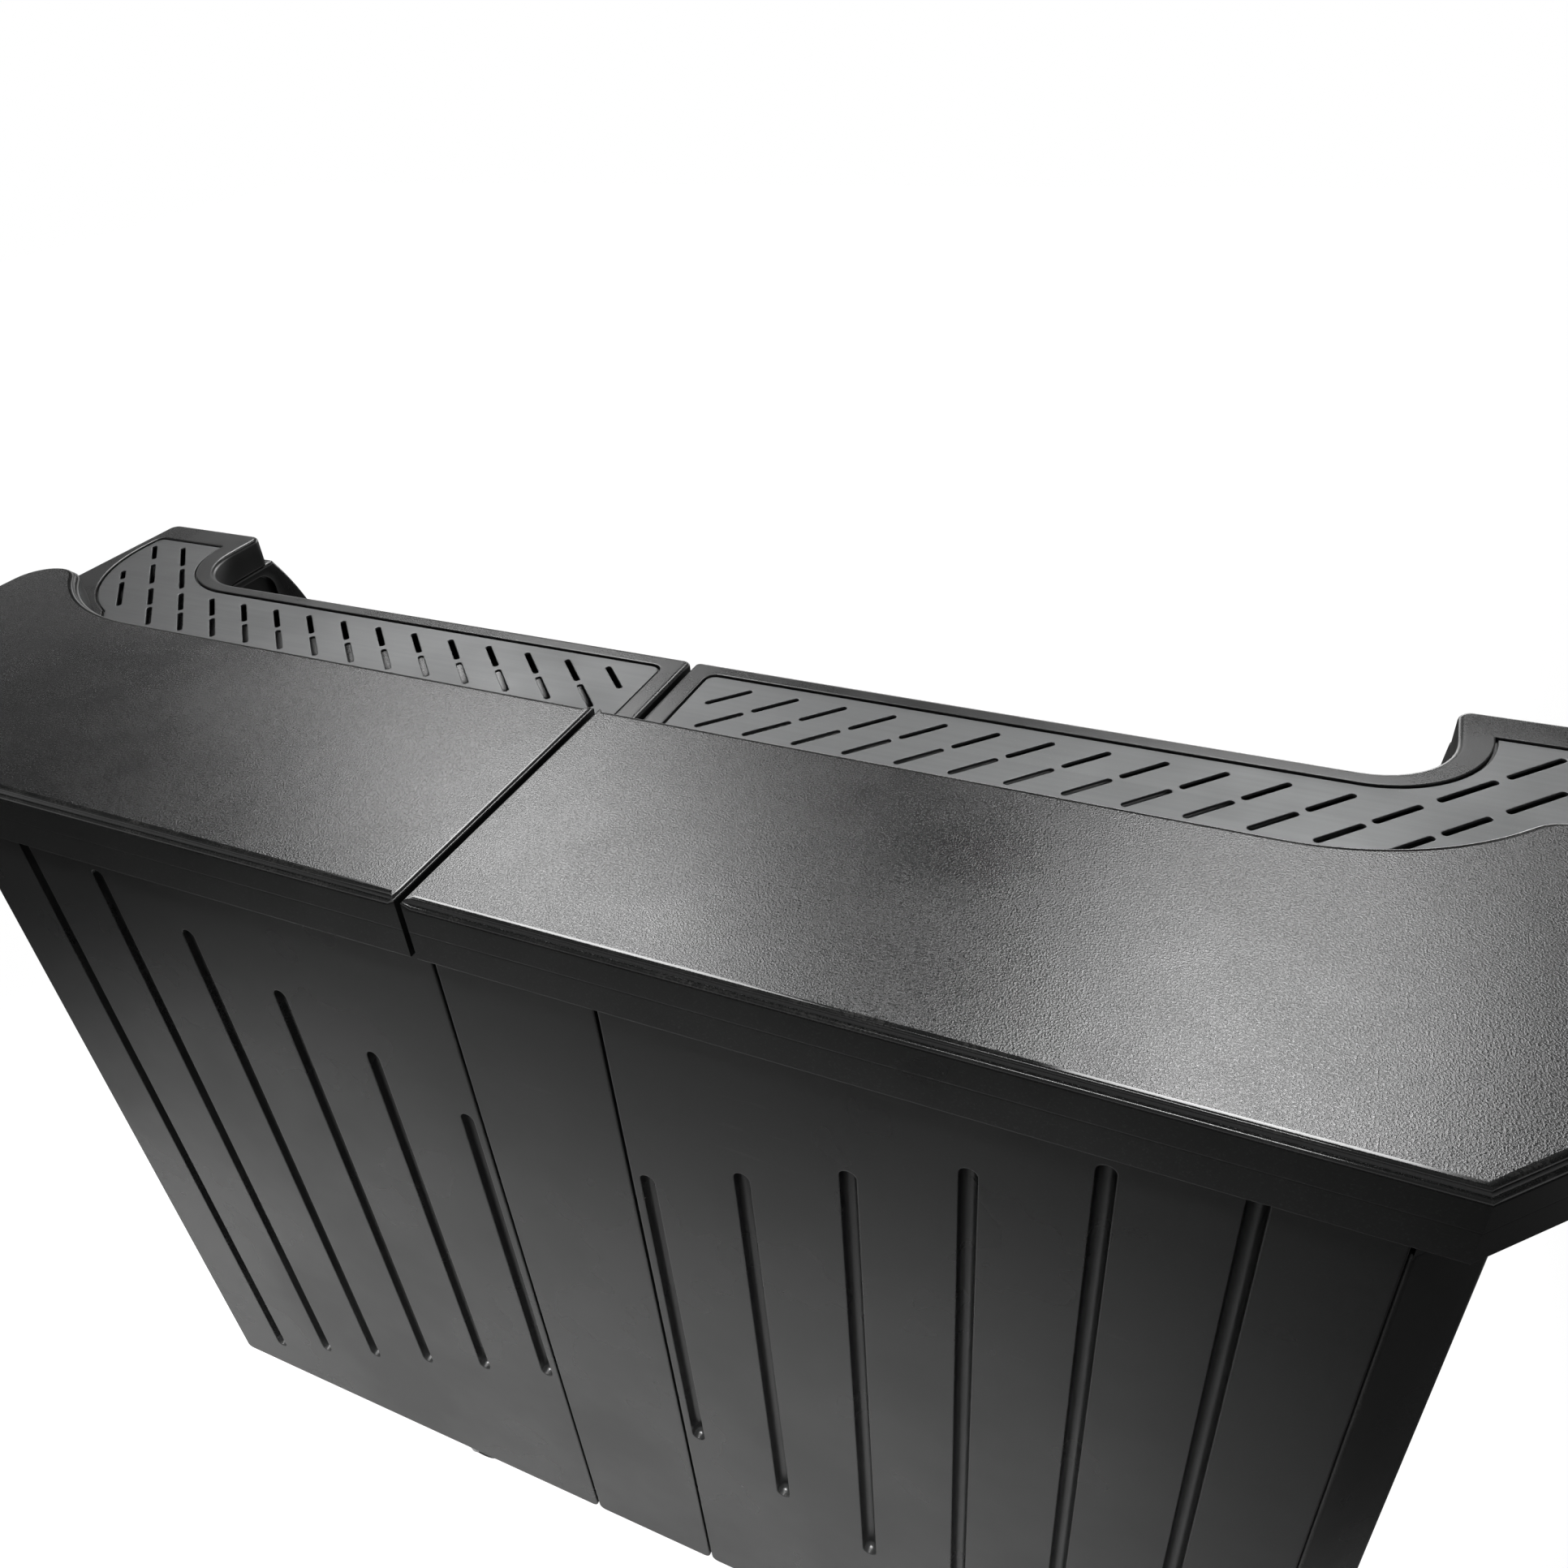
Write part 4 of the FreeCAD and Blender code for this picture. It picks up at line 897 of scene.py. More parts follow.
def moulded_plastic(
    name, base, dust, scale, depth, rough, gloss, fleck, specular, rub, scuffs, level_grain=False
):
    """Moulded plastic with mould grain, rubbed edges, scuffs and a little dust.

    Scale and depth are those of the grain, gloss is how much smoother its raised parts are, and level_grain
    keeps the grain off faces that aren't level.
    """
    made, tree, shader = new_material(name, base, specular)
    grain = place_group(tree, leathery_grain, Scale=scale)
    edges = place_group(tree, edge_rub, Amount=rub)
    marks = place_group(tree, handling_marks, Scuffs=scuffs)
    shade = mixed(tree, times(tree, grain["Fleck"], fleck), base, tinted(base, 3.0))
    for mask, strength in ((edges["Mask"], 0.5), (marks["Scuff"], 0.12), (marks["Dust"], 0.10)):
        shade = mixed(tree, times(tree, mask, strength), shade, dust)
    link(tree, shade, shader.inputs["Base Color"])
    inside = math_node(tree, "SUBTRACT", 1.0, edges["Edge"], True)
    height = times(tree, grain["Height"], times(tree, inside, marks["Level"]))
    spread = between(tree, marks["Patches"], 0.3, 0.7, rough - 0.05, rough + 0.06)
    spread = math_node(tree, "ADD", spread, times(tree, marks["Scuff"], 0.12))
    for mask, strength in ((height, gloss), (edges["Edge"], gloss), (edges["Mask"], 0.08)):
        spread = less(tree, spread, times(tree, mask, strength))
    link(tree, spread, shader.inputs["Roughness"])
    bump(tree, shader, height if level_grain else grain["Height"], 1.0, depth)
    return made


def rolled_metal(name, base, dust, rough, metallic, depth, rub):
    """Rolled or plated sheet with drawn lines, dull patches and bright edges."""
    made, tree, shader = new_material(name, base, 0.5)
    shader.inputs["Metallic"].default_value = metallic
    lines = place_group(tree, brushed_lines, Fineness=1.0)
    edges = place_group(tree, edge_rub, Amount=rub)
    marks = place_group(tree, handling_marks, Scuffs=0.6)
    shade = mixed(tree, between(tree, lines["Shade"], 0.3, 0.7), tinted(base, 0.9), base)
    shade = mixed(tree, times(tree, marks["Dust"], 0.35), shade, dust)
    shade = mixed(tree, edges["Mask"], shade, tinted(base, 1.7))
    link(tree, shade, shader.inputs["Base Color"])
    spread = between(tree, marks["Patches"], 0.3, 0.7, rough - 0.06, rough + 0.07)
    link(tree, spread, shader.inputs["Roughness"])
    bump(tree, shader, lines["Height"], 0.6, depth)
    return made


# For each finish: how it is made, the name of its colour and its values

FINISHES = {
    "grained_plastic": (moulded_plastic, "grained", dict(
        scale=600.0, depth=0.00011, rough=0.31, gloss=0.2, fleck=0.8, specular=0.4, rub=0.35, scuffs=0.1,
        level_grain=True,
    )),
    "deck_plastic": (moulded_plastic, "grained", dict(
        scale=900.0, depth=0.00003, rough=0.34, gloss=0.06, fleck=0.3, specular=0.4, rub=0.3, scuffs=0.1,
    )),
    "satin_plastic": (moulded_plastic, "satin", dict(
        scale=700.0, depth=0.000008, rough=0.3, gloss=0.0, fleck=0.2, specular=0.4, rub=0.3, scuffs=0.3,
    )),
    "shelf_plastic": (moulded_plastic, "shelf", dict(
        scale=500.0, depth=0.00003, rough=0.4, gloss=0.06, fleck=0.3, specular=0.4, rub=0.5, scuffs=0.9,
    )),
    "pedal_plastic": (moulded_plastic, "pedal", dict(
        scale=700.0, depth=0.00003, rough=0.42, gloss=0.05, fleck=0.3, specular=0.4, rub=0.8, scuffs=0.9,
    )),
    "wheel_rubber": (moulded_plastic, "tyre", dict(
        scale=520.0, depth=0.00008, rough=0.6, gloss=0.1, fleck=0.5, specular=0.3, rub=0.9, scuffs=0.9,
    )),
    "wheel_centre": (moulded_plastic, "centre", dict(
        scale=700.0, depth=0.00004, rough=0.45, gloss=0.05, fleck=0.3, specular=0.4, rub=0.6, scuffs=0.6,
    )),
    "drip_metal": (rolled_metal, "drip", dict(rough=0.5, metallic=0.6, depth=0.00001, rub=0.9)),
    "hinge_steel": (rolled_metal, "hinge", dict(rough=0.38, metallic=0.55, depth=0.00003, rub=0.9)),
    "caster_steel": (rolled_metal, "zinc", dict(rough=0.34, metallic=0.9, depth=0.00003, rub=0.5)),
}


def finish_of(sizes, kind):
    """Material of one kind of finish, built on its first use."""
    name = kind + "_finish"
    found = bpy.data.materials.get(name)
    if found:
        return found
    build, word, values = FINISHES[kind]
    return build(name, tuple(getattr(sizes.finishes, word)), tuple(sizes.finishes.dust), **values)


# Pieces


def top_outline(t, side):
    """Plan of a counter top, from the seam round the guests' side to the curled back wing."""
    wing_y = t.back + t.wing_radius
    reach = t.wing_radius + t.nose_radius
    across = t.side - t.nose_radius - t.wing_start
    along = math.sqrt(reach * reach - across * across)
    touch_x = t.wing_start + t.wing_radius * across / reach
    touch_y = wing_y - t.wing_radius * along / reach
    path = [
        (t.half_seam, -t.overhang, None),
        (t.corner, -t.overhang, None),
        (t.side, t.side - t.corner - t.overhang, None),
        (t.side, t.fascia_end, None),
        (t.side, t.fascia_end + HEIGHT_STEP, None),
        (t.side, wing_y - along, (t.nose_radius, 1, 16)),
        (touch_x, touch_y, (t.wing_radius, -1, 28)),
        (t.wing_start, t.back, None),
        (t.half_seam, t.back, None),
        (t.half_seam, t.lip - t.overhang + HEIGHT_STEP, None),
        (t.half_seam, t.lip - t.overhang, None),
    ]
    return sampled(mirrored(path, side))


def stepped_edge(t, steps=5):
    """Section of the upper edge in two rounded steps: distance from the face, drop from the top and wear."""
    bends = [(0.0, t.edge_height, t.lower_round), (t.lower_round + t.ledge, t.upper_round, t.upper_round)]
    section = []
    for start, low, radius in bends:
        for k in range(steps + 1):
            angle = QUARTER * k / steps
            away = start + radius * (1 - math.cos(angle))
            section.append((away, low - radius * math.sin(angle), math.sin(2 * angle)))
    inner = section[-1][0]
    section[-1] = (inner, 0.0, 1.0)
    grainless = inner + t.smooth_strip
    return section + [(grainless, 0.0, 1.0), (grainless + NARROW_SUPPORT, 0.0, 0.0)]


def counter_top(sizes, side):
    """Raised top with a deeper fascia on the guests' side, a parting line and a stepped upper edge."""
    t = sizes.tops
    loop = top_outline(t, side)
    skin = Skin(flat_place(y=front_plane(sizes)))
    on_seam = np.abs(np.abs(loop[:, 0]) - t.half_seam) < SAME_PLACE
    on_front = loop[:, 1] < t.lip - t.overhang + SAME_PLACE
    fascia = (loop[:, 1] < t.fascia_end + SAME_PLACE) & ~(on_seam & ~on_front)
    fascia &= (np.abs(loop[:, 0]) > t.corner) | on_front
    deck_top = deck_level(sizes)
    under = np.where(fascia, t.height - t.fascia, deck_top)
    ratio = np.where(on_seam, t.seam_height, t.edge_height) / t.edge_height
    low = t.under_soft
    parting = t.height - t.parting_drop
    half = t.parting_half
    rings = [
        (inset(loop, t.lip), deck_top, 0.0),
        (inset(loop, t.lip), under, 0.0),
        (inset(loop, low), under, 0.0),
        (inset(loop, low * MID_SOFT), under + low * MID_SOFT, 0.0),
        (loop, under + low, 0.0),
        (loop, under + low + NARROW_SUPPORT, 0.0),
        (loop, parting - half - NARROW_SUPPORT, 0.0),
        (loop, parting - half, 0.0),
        (inset(loop, t.parting_depth), parting - half * 0.3, 0.0),
        (inset(loop, t.parting_depth), parting + half * 0.3, 0.0),
        (loop, parting + half, 0.0),
        (loop, parting + half + NARROW_SUPPORT, 0.0),
        (loop, t.height - t.edge_height - NARROW_SUPPORT, 0.0),
    ]
    for away, drop, wear in stepped_edge(t):
        rings.append((inset(loop, away * ratio), t.height - drop * ratio, wear))
    skin.block(rings)
    return skin


def deck_outline(d, seam, side):
    """Plan of a deck: middle run, arm at the end and a cut front corner."""
    corners = [
        (seam, d.front, 0),
        (d.half_width - d.cut, d.front, 0),
        (d.half_width, d.front + d.cut, 0),
        (d.half_width, d.arm_back, d.corner_round),
        (d.arm_inner, d.arm_back, d.corner_round),
        (d.arm_inner, d.back, d.arm_fillet),
        (seam, d.back, d.seam_corner),
    ]
    return sampled(mirrored(rounded(corners, 12), side))


def crossing(ax, ay, a_radius, bx, by, b_radius):
    """Where two circles cross, on the guests' side of the line between their centres."""
    dx, dy = bx - ax, by - ay
    gap = math.hypot(dx, dy)
    along = (a_radius * a_radius - b_radius * b_radius + gap * gap) / (gap * 2)
    across = math.sqrt(a_radius * a_radius - along * along)
    return ax + (dx * along + dy * across) / gap, ay + (dy * along - dx * across) / gap


def plate_outline(sizes, grow, side):
    """Plan of a drip plate, or of a step of its recess when grown."""
    t, p = sizes.tops, sizes.plates
    wing_radius = t.wing_radius - p.top_gap + grow
    bow_radius = p.bow_radius + grow
    wing = (t.wing_start, t.back + t.wing_radius, wing_radius)
    bow = (p.side - p.bow_radius, p.bow_end, bow_radius)
    corner = crossing(*wing, *bow)
    seam = p.seam_edge - grow
    front = t.back + p.top_gap - grow
    back = p.back + grow
    arm_back = p.arm_back + grow
    turn = p.corner + grow
    edge = p.side + grow
    hollow = p.arm_back - p.back - grow
    hollow_x = p.arm_inner - (p.arm_back - p.back)
    tip_x = hollow_x + math.sqrt(hollow * hollow - grow * grow)
    path = [
        (seam, front + turn, (turn, 1, 6)),
        (seam + turn, front, None),
        (t.wing_start, front, (wing_radius, 1, 20)),
        (*corner, (bow_radius, 1, 24)),
        (edge, p.bow_end, None),
        (edge, arm_back - turn, (turn, 1, 6)),
        (edge - turn, arm_back, None),
        (tip_x, arm_back, (hollow, -1, 20)),
        (hollow_x, back, None),
        (seam + turn, back, (turn, 1, 6)),
        (seam, back - turn, None),
    ]
    return sampled(mirrored(path, side), guard=UNDIVIDED)


def work_deck(sizes, side):
    """Deck with a recess that has a ledge for the drip plate and a basin under it."""
    d, p = sizes.decks, sizes.plates
    top = deck_level(sizes)
    skin = Skin(flat_place(y=front_plane(sizes)))
    lip = d.lip_round
    floor = top - d.basin
    steps = [
        (p.gap + lip, top, 0.0),
        (p.gap + lip * MID_SOFT, top - lip * MID_SOFT, 0.8),
        (p.gap, top - lip, 0.3),
        (p.gap, top - d.recess, 0.0),
        (-d.ledge, top - d.recess, 0.0),
        (-d.ledge - lip * 0.5, top - d.recess - lip * 0.5, 0.0),
        (-d.ledge - lip * 0.5, floor + lip * 3, 0.0),
        (-d.ledge - lip * 1.5, floor + lip, 0.0),
        (-d.ledge - lip * 3.5, floor, 0.0),
    ]
    recess = [(plate_outline(sizes, grow, side), h, w) for grow, h, w in steps]
    loop = deck_outline(d, sizes.tops.half_seam, side)
    board(skin, loop, top - d.thickness, top, d.under_round, d.edge_round, sinks=[recess])
    return skin


def slot_loop(p, x, back, run, grow, side):
    """Round-ended slot at 45 degrees, from its back end forward and towards the seam."""
    loop = capsule(0.0, 0.0, run / ROOT_TWO, p.slot_width / 2 + grow, 7)
    middle = (x - run / 2, back - run / 2)
    slanted = np.array([turned_by(spot, -QUARTER / 2) for spot in loop])
    return (slanted + middle) * (side, 1)


def slot_places(p):
    """Back end and run of every slot."""
    middle_back = p.back - p.slot_margin
    arm_back = p.arm_back - p.slot_margin
    rows = [
        (middle_back, p.slot_run, 0, p.slot_lines),
        (middle_back - p.slot_step, p.slot_run, 0, p.slot_lines - 1),
        (middle_back - p.slot_step * 2, p.slot_run, 1, p.slot_lines - 3),
        (arm_back, p.arm_slot_run, 1, 1),
        (arm_back - p.slot_width, p.arm_slot_run - p.slot_width * 2, 0, 1),
        (arm_back - p.arm_slot_step, p.arm_slot_run, 0, 2),
        (p.edge_slot_back, p.edge_slot_short, -1, 1),
        (p.edge_slot_back - p.edge_slot_short - p.edge_slot_gap, p.edge_slot_long, -1, 1),
    ]
    for back, run, line, count in rows:
        for number in range(line, line + count):
            yield p.line_reach - p.slot_pitch * number + back, back, run


def drip_plate(sizes, side):
    """Sheet with bevelled slots, sunk a little below the deck's rim."""
    p = sizes.plates
    top = deck_level(sizes) - p.sink
    bottom = top - p.thickness
    skin = Skin(flat_place(y=front_plane(sizes)))
    middle = p.bevel * MID_SOFT
    steps = [(p.bevel, top, 0.2), (middle, top - middle, 0.9), (0.0, top - p.bevel, 0.2), (0.0, bottom, 0.0)]
    slots = []
    for x, back, run in slot_places(p):
        slots.append([(slot_loop(p, x, back, run, grow, side), h, w) for grow, h, w in steps])
    loop = plate_outline(sizes, 0.0, side)
    board(skin, loop, bottom, top, p.bevel, p.bevel, holes=slots)
    return skin


def groove(f, x, low, high):
    """Round groove between two heights, as rings from its softened lip down to its bottom line."""
    radius, lip = f.groove_radius, f.groove_lip
    middle, run = (low + high) / 2, (high - low) / 2
    rings = [
        (capsule(x, middle, run, radius + lip), 0.0, 0.0),
        (capsule(x, middle, run, radius + lip * 0.45), -lip * 0.16, 0.5),
        (capsule(x, middle, run, radius + lip * 0.06), -lip * 0.62, 0.9),
    ]
    for k in range(GROOVE_STEPS + 1):
        angle = GROOVE_START + (QUARTER - GROOVE_START) * k / GROOVE_STEPS
        wear = None if k == GROOVE_STEPS else 0.0
        depth = f.groove_wall + radius * math.sin(angle)
        rings.append((capsule(x, middle, run, radius * math.cos(angle)), -depth, wear))
    return rings


def front_board(sizes, left, right, grooves=()):
    """Upright front piece between two places on X; grooves are given by place and half length."""
    f = sizes.fronts
    top = deck_level(sizes)
    corners = [(left, f.clearance, f.corner), (right, f.clearance, f.corner), (right, top, 0), (left, top, 0)]
    skin = Skin(upright_place(front_plane(sizes)))
    sinks = []
    for x, half in grooves:
        low = f.groove_middle - half + f.groove_radius
        high = min(f.groove_middle + half, top - f.groove_radius) - f.groove_radius
        sinks.append(groove(f, x, low, high))
    loop = sampled(rounded(corners))
    board(skin, loop, -f.thickness, 0.0, f.back_round, f.edge_round, SUPPORT, sinks=sinks)
    return skin


def centre_strip(sizes):
    """Plain strip between the two panels, to the right of the seam."""
    half_joint = sizes.fronts.joint / 2
    return front_board(sizes, half_joint, sizes.fronts.strip_width - half_joint)


def front_panel(sizes, side):
    """Panel whose grooves grow longer from its inner edge outwards."""
    f = sizes.fronts
    inner = f.joint / 2
    if side > 0:
        inner += f.strip_width
    grooves = []
    for k in range(f.grooves):
        x = (inner + f.groove_first + f.groove_pitch * k) * side
        grooves.append((x, f.groove_half + f.groove_growth * k))
    left, right = sorted((inner * side, panel_reach(sizes, side) * side))
    return front_board(sizes, left, right, grooves)


def wall_place(sizes, cut, side):
    """Bend of a wall's sheet: s runs along the outside from the corner, on the face where it is negative."""
    w = sizes.walls
    y0 = front_plane(sizes)
    setback = w.fold_round * math.tan(QUARTER / 4)
    inner_reach = (w.thickness - w.face_thickness / ROOT_TWO) * ROOT_TWO

    def on_face(s, h):
        t = max(-s, inner_reach * h / w.thickness)
        deep = h * w.face_thickness / w.thickness
        return Vector((w.outer - (t + deep) / ROOT_TWO, cut + (deep - t) / ROOT_TWO))

    def place(s, v, h):
        h = -h
        if s >= setback:
            spot = Vector((w.outer - h, cut + s))
        elif s <= -setback:
            spot = on_face(s, h)
        else:
            part = (s + setback) / (2 * setback)
            start = on_face(-setback, h)
            end = Vector((w.outer - h, cut + setback))
            middle = on_face(0.0, h)
            spot = start * (1 - part) ** 2 + middle * (2 * part * (1 - part)) + end * part**2
        return (spot.x * side, y0 + spot.y, v)

    return place, setback


def wall_outline(sizes, cut, folds):
    """Outline of a wall's flat sheet, with points where it is folded."""
    w, low = sizes.walls, sizes.fronts.clearance
    high = deck_level(sizes) - sizes.decks.thickness
    face_length = (cut - w.joint) * ROOT_TWO
    rise = high - w.bow_foot
    lean = w.back - w.top_back
    bow = (rise * rise + lean * lean) / (lean * 2)
    path = [(s, low, None) for s in (-face_length, *folds)]
    path += [
        (w.back - w.foot_corner - cut, low, (w.foot_corner, 1, 8)),
        (w.back - cut, low + w.foot_corner, None),
        (w.back - cut, w.bow_foot, (bow, 1, 16)),
        (w.top_back - cut, high, None),
    ]
    path += [(s, high, None) for s in (*reversed(folds), -face_length)]
    loop = sampled(path, CLOSE_RUN)
    lines = []
    for s in folds:
        lines.append([int(np.argmin(np.hypot(loop[:, 0] - s, loop[:, 1] - v))) for v in (low, high)])
    return loop, lines


def side_wall(sizes, side):
    """End wall with a 45 degree face, a bowed back edge and a recessed inner field."""
    w = sizes.walls
    cut = w.outer - panel_reach(sizes, side)
    place, setback = wall_place(sizes, cut, side)
    skin = Skin(place)
    loop, lines = wall_outline(sizes, cut, [setback * k / 3 for k in range(-3, 4)])
    near, back = w.recess_front - cut, w.back - w.recess_border - cut
    low, high, corner = w.recess_low, w.recess_high, w.recess_corner
    field = [(near, low, corner), (back, low, corner), (back, high, corner), (near, high, corner)]
    rim_loop = sampled(rounded(field, 8))
    soft, middle = w.recess_soft, w.recess_soft * MID_SOFT
    inner = -w.thickness
    floor_height = inner + w.recess_depth
    steps = [
        (-soft, inner, 0.0), (-middle, inner + middle, 0.6), (0.0, inner + soft, 0.2),
        (0.0, floor_height - soft, 0.0), (soft, floor_height, 0.0),
    ]
    inside = [(i, 2 * inner - h, wear) for i, h, wear in rim(w.edge_round, inner, 4)]
    profile = inside[::-1] + rim(w.edge_round, 0.0, 4)
    first, last = skin.stack([(inset(loop, i), h, wear) for i, h, wear in profile])
    mouth, floor = skin.stack([(inset(rim_loop, i), h, wear) for i, h, wear in steps])
    skin.fill(floor)
    skin.fill(last, (), [(last[a], last[b]) for a, b in lines])
    skin.fill(first, [mouth], [(first[a], first[b]) for a, b in lines])
    wall_head(sizes, skin, side)
    return skin


def wall_head(sizes, skin, side):
    """Upper end of the 45 degree face, between the counter top and the deck's front edges."""
    w, d, thick = sizes.walls, sizes.decks, sizes.fronts.thickness
    reach = panel_reach(sizes, side)
    deck_line = d.half_width - d.cut - d.front
    near = reach + w.joint
    plan = [(near, w.joint)]
    if reach + thick < deck_line:
        plan += [(reach + thick, thick), (near, thick)]
    else:
        plan += [(w.outer, w.outer - reach), (w.outer, w.outer - deck_line), (near, near - deck_line)]
    loop = inset(np.array(plan) * (side, 1), w.head_gap)
    high = deck_level(sizes)
    skin.moved(flat_place(y=front_plane(sizes)))
    skin.block([(loop, high - d.thickness - w.edge_round * 1.5, 0.0), (loop, high, 0.0)])


def plain_outline(spots, side):
    """Outline with sharp corners for one side, with long straight runs."""
    return sampled([(x * side, y, None) for x, y in spots], longest=0.2)


def shelf_board(sizes, side, bottom, thickness, back):
    """Shelf behind the panel, cut back along the 45 degree face."""
    w, s, front = sizes.walls, sizes.shelves, sizes.fronts.thickness
    seam, inner = sizes.tops.half_seam, w.outer - w.thickness
    reach = panel_reach(sizes, side)
    line = reach - w.face_thickness * ROOT_TWO
    start = min(line + front, reach + w.joint)
    plan = [(seam, front), (start, front), (inner, inner - line), (inner, back), (seam, back)]
    skin = Skin(flat_place(y=front_plane(sizes)))
    board(skin, plain_outline(plan, side), bottom, bottom + thickness, s.edge_round, s.edge_round)
    return skin


def base_shelf(sizes, side):
    return shelf_board(sizes, side, sizes.fronts.clearance, sizes.shelves.base_thickness, sizes.decks.back)


def middle_shelf(sizes, side):
    """Shelf that ends before the inner post, with a lip along its back edge."""
    s = sizes.shelves
    seam, inner = sizes.tops.half_seam, sizes.walls.outer - sizes.walls.thickness
    back = sizes.decks.back - s.post_width
    skin = shelf_board(sizes, side, s.middle_height, s.middle_thickness, back)
    top = s.middle_height + s.middle_thickness
    front = back - s.lip_width
    loop = plain_outline([(seam, front), (inner, front), (inner, back), (seam, back)], side)
    low, high = top - s.edge_round * 1.2, top + s.lip_height
    board(skin, loop, low, high, s.lip_foot, s.edge_round * 1.4, NARROW_SUPPORT)
    return skin


def inner_post(sizes, side):
    """Post beside the fold, from the base shelf up to the deck."""
    s, d = sizes.shelves, sizes.decks
    seam = sizes.tops.half_seam
    front = d.back - s.post_width
    corners = [
        (seam, front, s.post_corner),
        (seam + s.post_width, front, s.post_corner),
        (seam + s.post_width, d.back, s.edge_round * 2),
        (seam, d.back, s.edge_round * 2),
    ]
    low = sizes.fronts.clearance + s.base_thickness
    high = deck_level(sizes) - d.thickness
    skin = Skin(flat_place(y=front_plane(sizes)))
    loop = sampled(mirrored(rounded(corners), side), CLOSE_RUN)
    board(skin, loop, low, high, s.post_end, s.post_end, SUPPORT)
    return skin


def screw_head(skin, place, radius):
    """Domed screw head with a cross recess, seen from its own top."""
    arm = radius * 0.62
    width = radius * 0.13
    quarter = ((arm, -width), (arm, width), (width, width))
    mouth_loop = np.array([turned_by(corner, QUARTER * k) for k in range(4) for corner in quarter])
    dome = radius * 0.26
    skin.moved(place)
    _, last = skin.stack(
        [
            (circle(radius, 24), 0.0, 0.0),
            (circle(radius * 0.94, 24), radius * 0.16, 0.7),
            (circle(radius * 0.78, 24), dome, 0.4),
        ]
    )
    mouth, floor = skin.stack([(mouth_loop, dome, 0.4), (mouth_loop * 0.9, -radius * 0.1, 0.0)])
    skin.fill(last, [mouth])
    skin.fill(floor)


def hinge_leaf(sizes, side, low, knuckles):
    """Leaf with its screws and, at the given thirds of its height, its knuckles."""
    h = sizes.hinges
    back = sizes.decks.back
    y0 = front_plane(sizes)
    start = h.barrel_radius + h.barrel_gap
    end = start + h.leaf_width
    high = low + h.height
    corners = [(start, low, 0), (end, low, h.leaf_corner), (end, high, h.leaf_corner), (start, high, 0)]
    behind = y0 + back + h.leaf_thickness
    skin = Skin(lambda u, v, d: (u, behind + d, v))
    loop = sampled(mirrored(rounded(corners), side), CLOSE_RUN)
    board(skin, loop, -h.leaf_thickness, 0.0, h.leaf_foot, h.leaf_round, NARROW_SUPPORT)
    third = h.height / 3
    near, far = back + h.knuckle_gap, back + h.leaf_thickness
    reach = start + h.web_overlap
    web = np.array([(0.0, near), (reach, near), (reach, far), (0.0, far)]) * (side, 1)
    bore = h.pin_radius + h.pin_gap
    outer = h.barrel_radius
    soft = h.barrel_soft
    for number in knuckles:
        foot_z = low + third * number + h.knuckle_gap / 2
        head_z = foot_z + third - h.knuckle_gap
        skin.moved(flat_place(y=y0))
        skin.block([(web, foot_z + h.web_inset, 0.0), (web, head_z - h.web_inset, 0.0)])
        skin.moved(flat_place(y=y0 + back + h.set_back))
        skin.turned(
            [
                (bore, foot_z, 0.0), (outer - soft, foot_z, 0.0), (outer, foot_z + soft, 0.8),
                (outer, head_z - soft, 0.0), (outer - soft, head_z, 0.8),
                (bore, head_z, 0.0), (bore, foot_z, 0.0),
            ]
        )
    for rise_share, reach_share in SCREW_SHARES:
        x = (start + h.leaf_width * reach_share) * side
        z = low + h.height * rise_share
        screw_head(skin, lambda u, v, d, x=x, z=z: (x + u, behind + d, z + v), h.screw_radius)
    return skin


def hinge_pin(sizes, low):
    """Pin with a chamfered foot and a domed head."""
    h = sizes.hinges
    skin = Skin(flat_place(y=front_plane(sizes) + sizes.decks.back + h.set_back))
    radius, head = h.pin_radius, h.pin_head
    neck = low + h.height - h.knuckle_gap / 2
    high = neck + h.pin_head_height
    skin.turned(
        [
            (0.0, low, 0.0), (radius * 0.8, low, 0.5), (radius, low + h.pin_foot, 0.5), (radius, neck, 0.0),
            (head, neck, 0.0), (head, high - h.pin_dome, 0.5),
            (head * 0.72, high - h.pin_dome / 9, 0.8), (0.0, high, 0.2),
        ],
        24,
    )
    return skin


def hexagon(skin, radius, low, high):
    """Bolt head with rounded upper corners; low is the face that it is pressed against."""
    crown = radius * 0.97
    soft = (high - low) * 0.22
    skin.turned(
        [
            (0.0, low, 0.0), (radius, low, 0.0), (radius, high - soft, 0.6),
            (crown * 0.88, high, 0.8), (crown * 0.5, high, 0.0), (0.0, high, 0.0),
        ],
        6,
    )


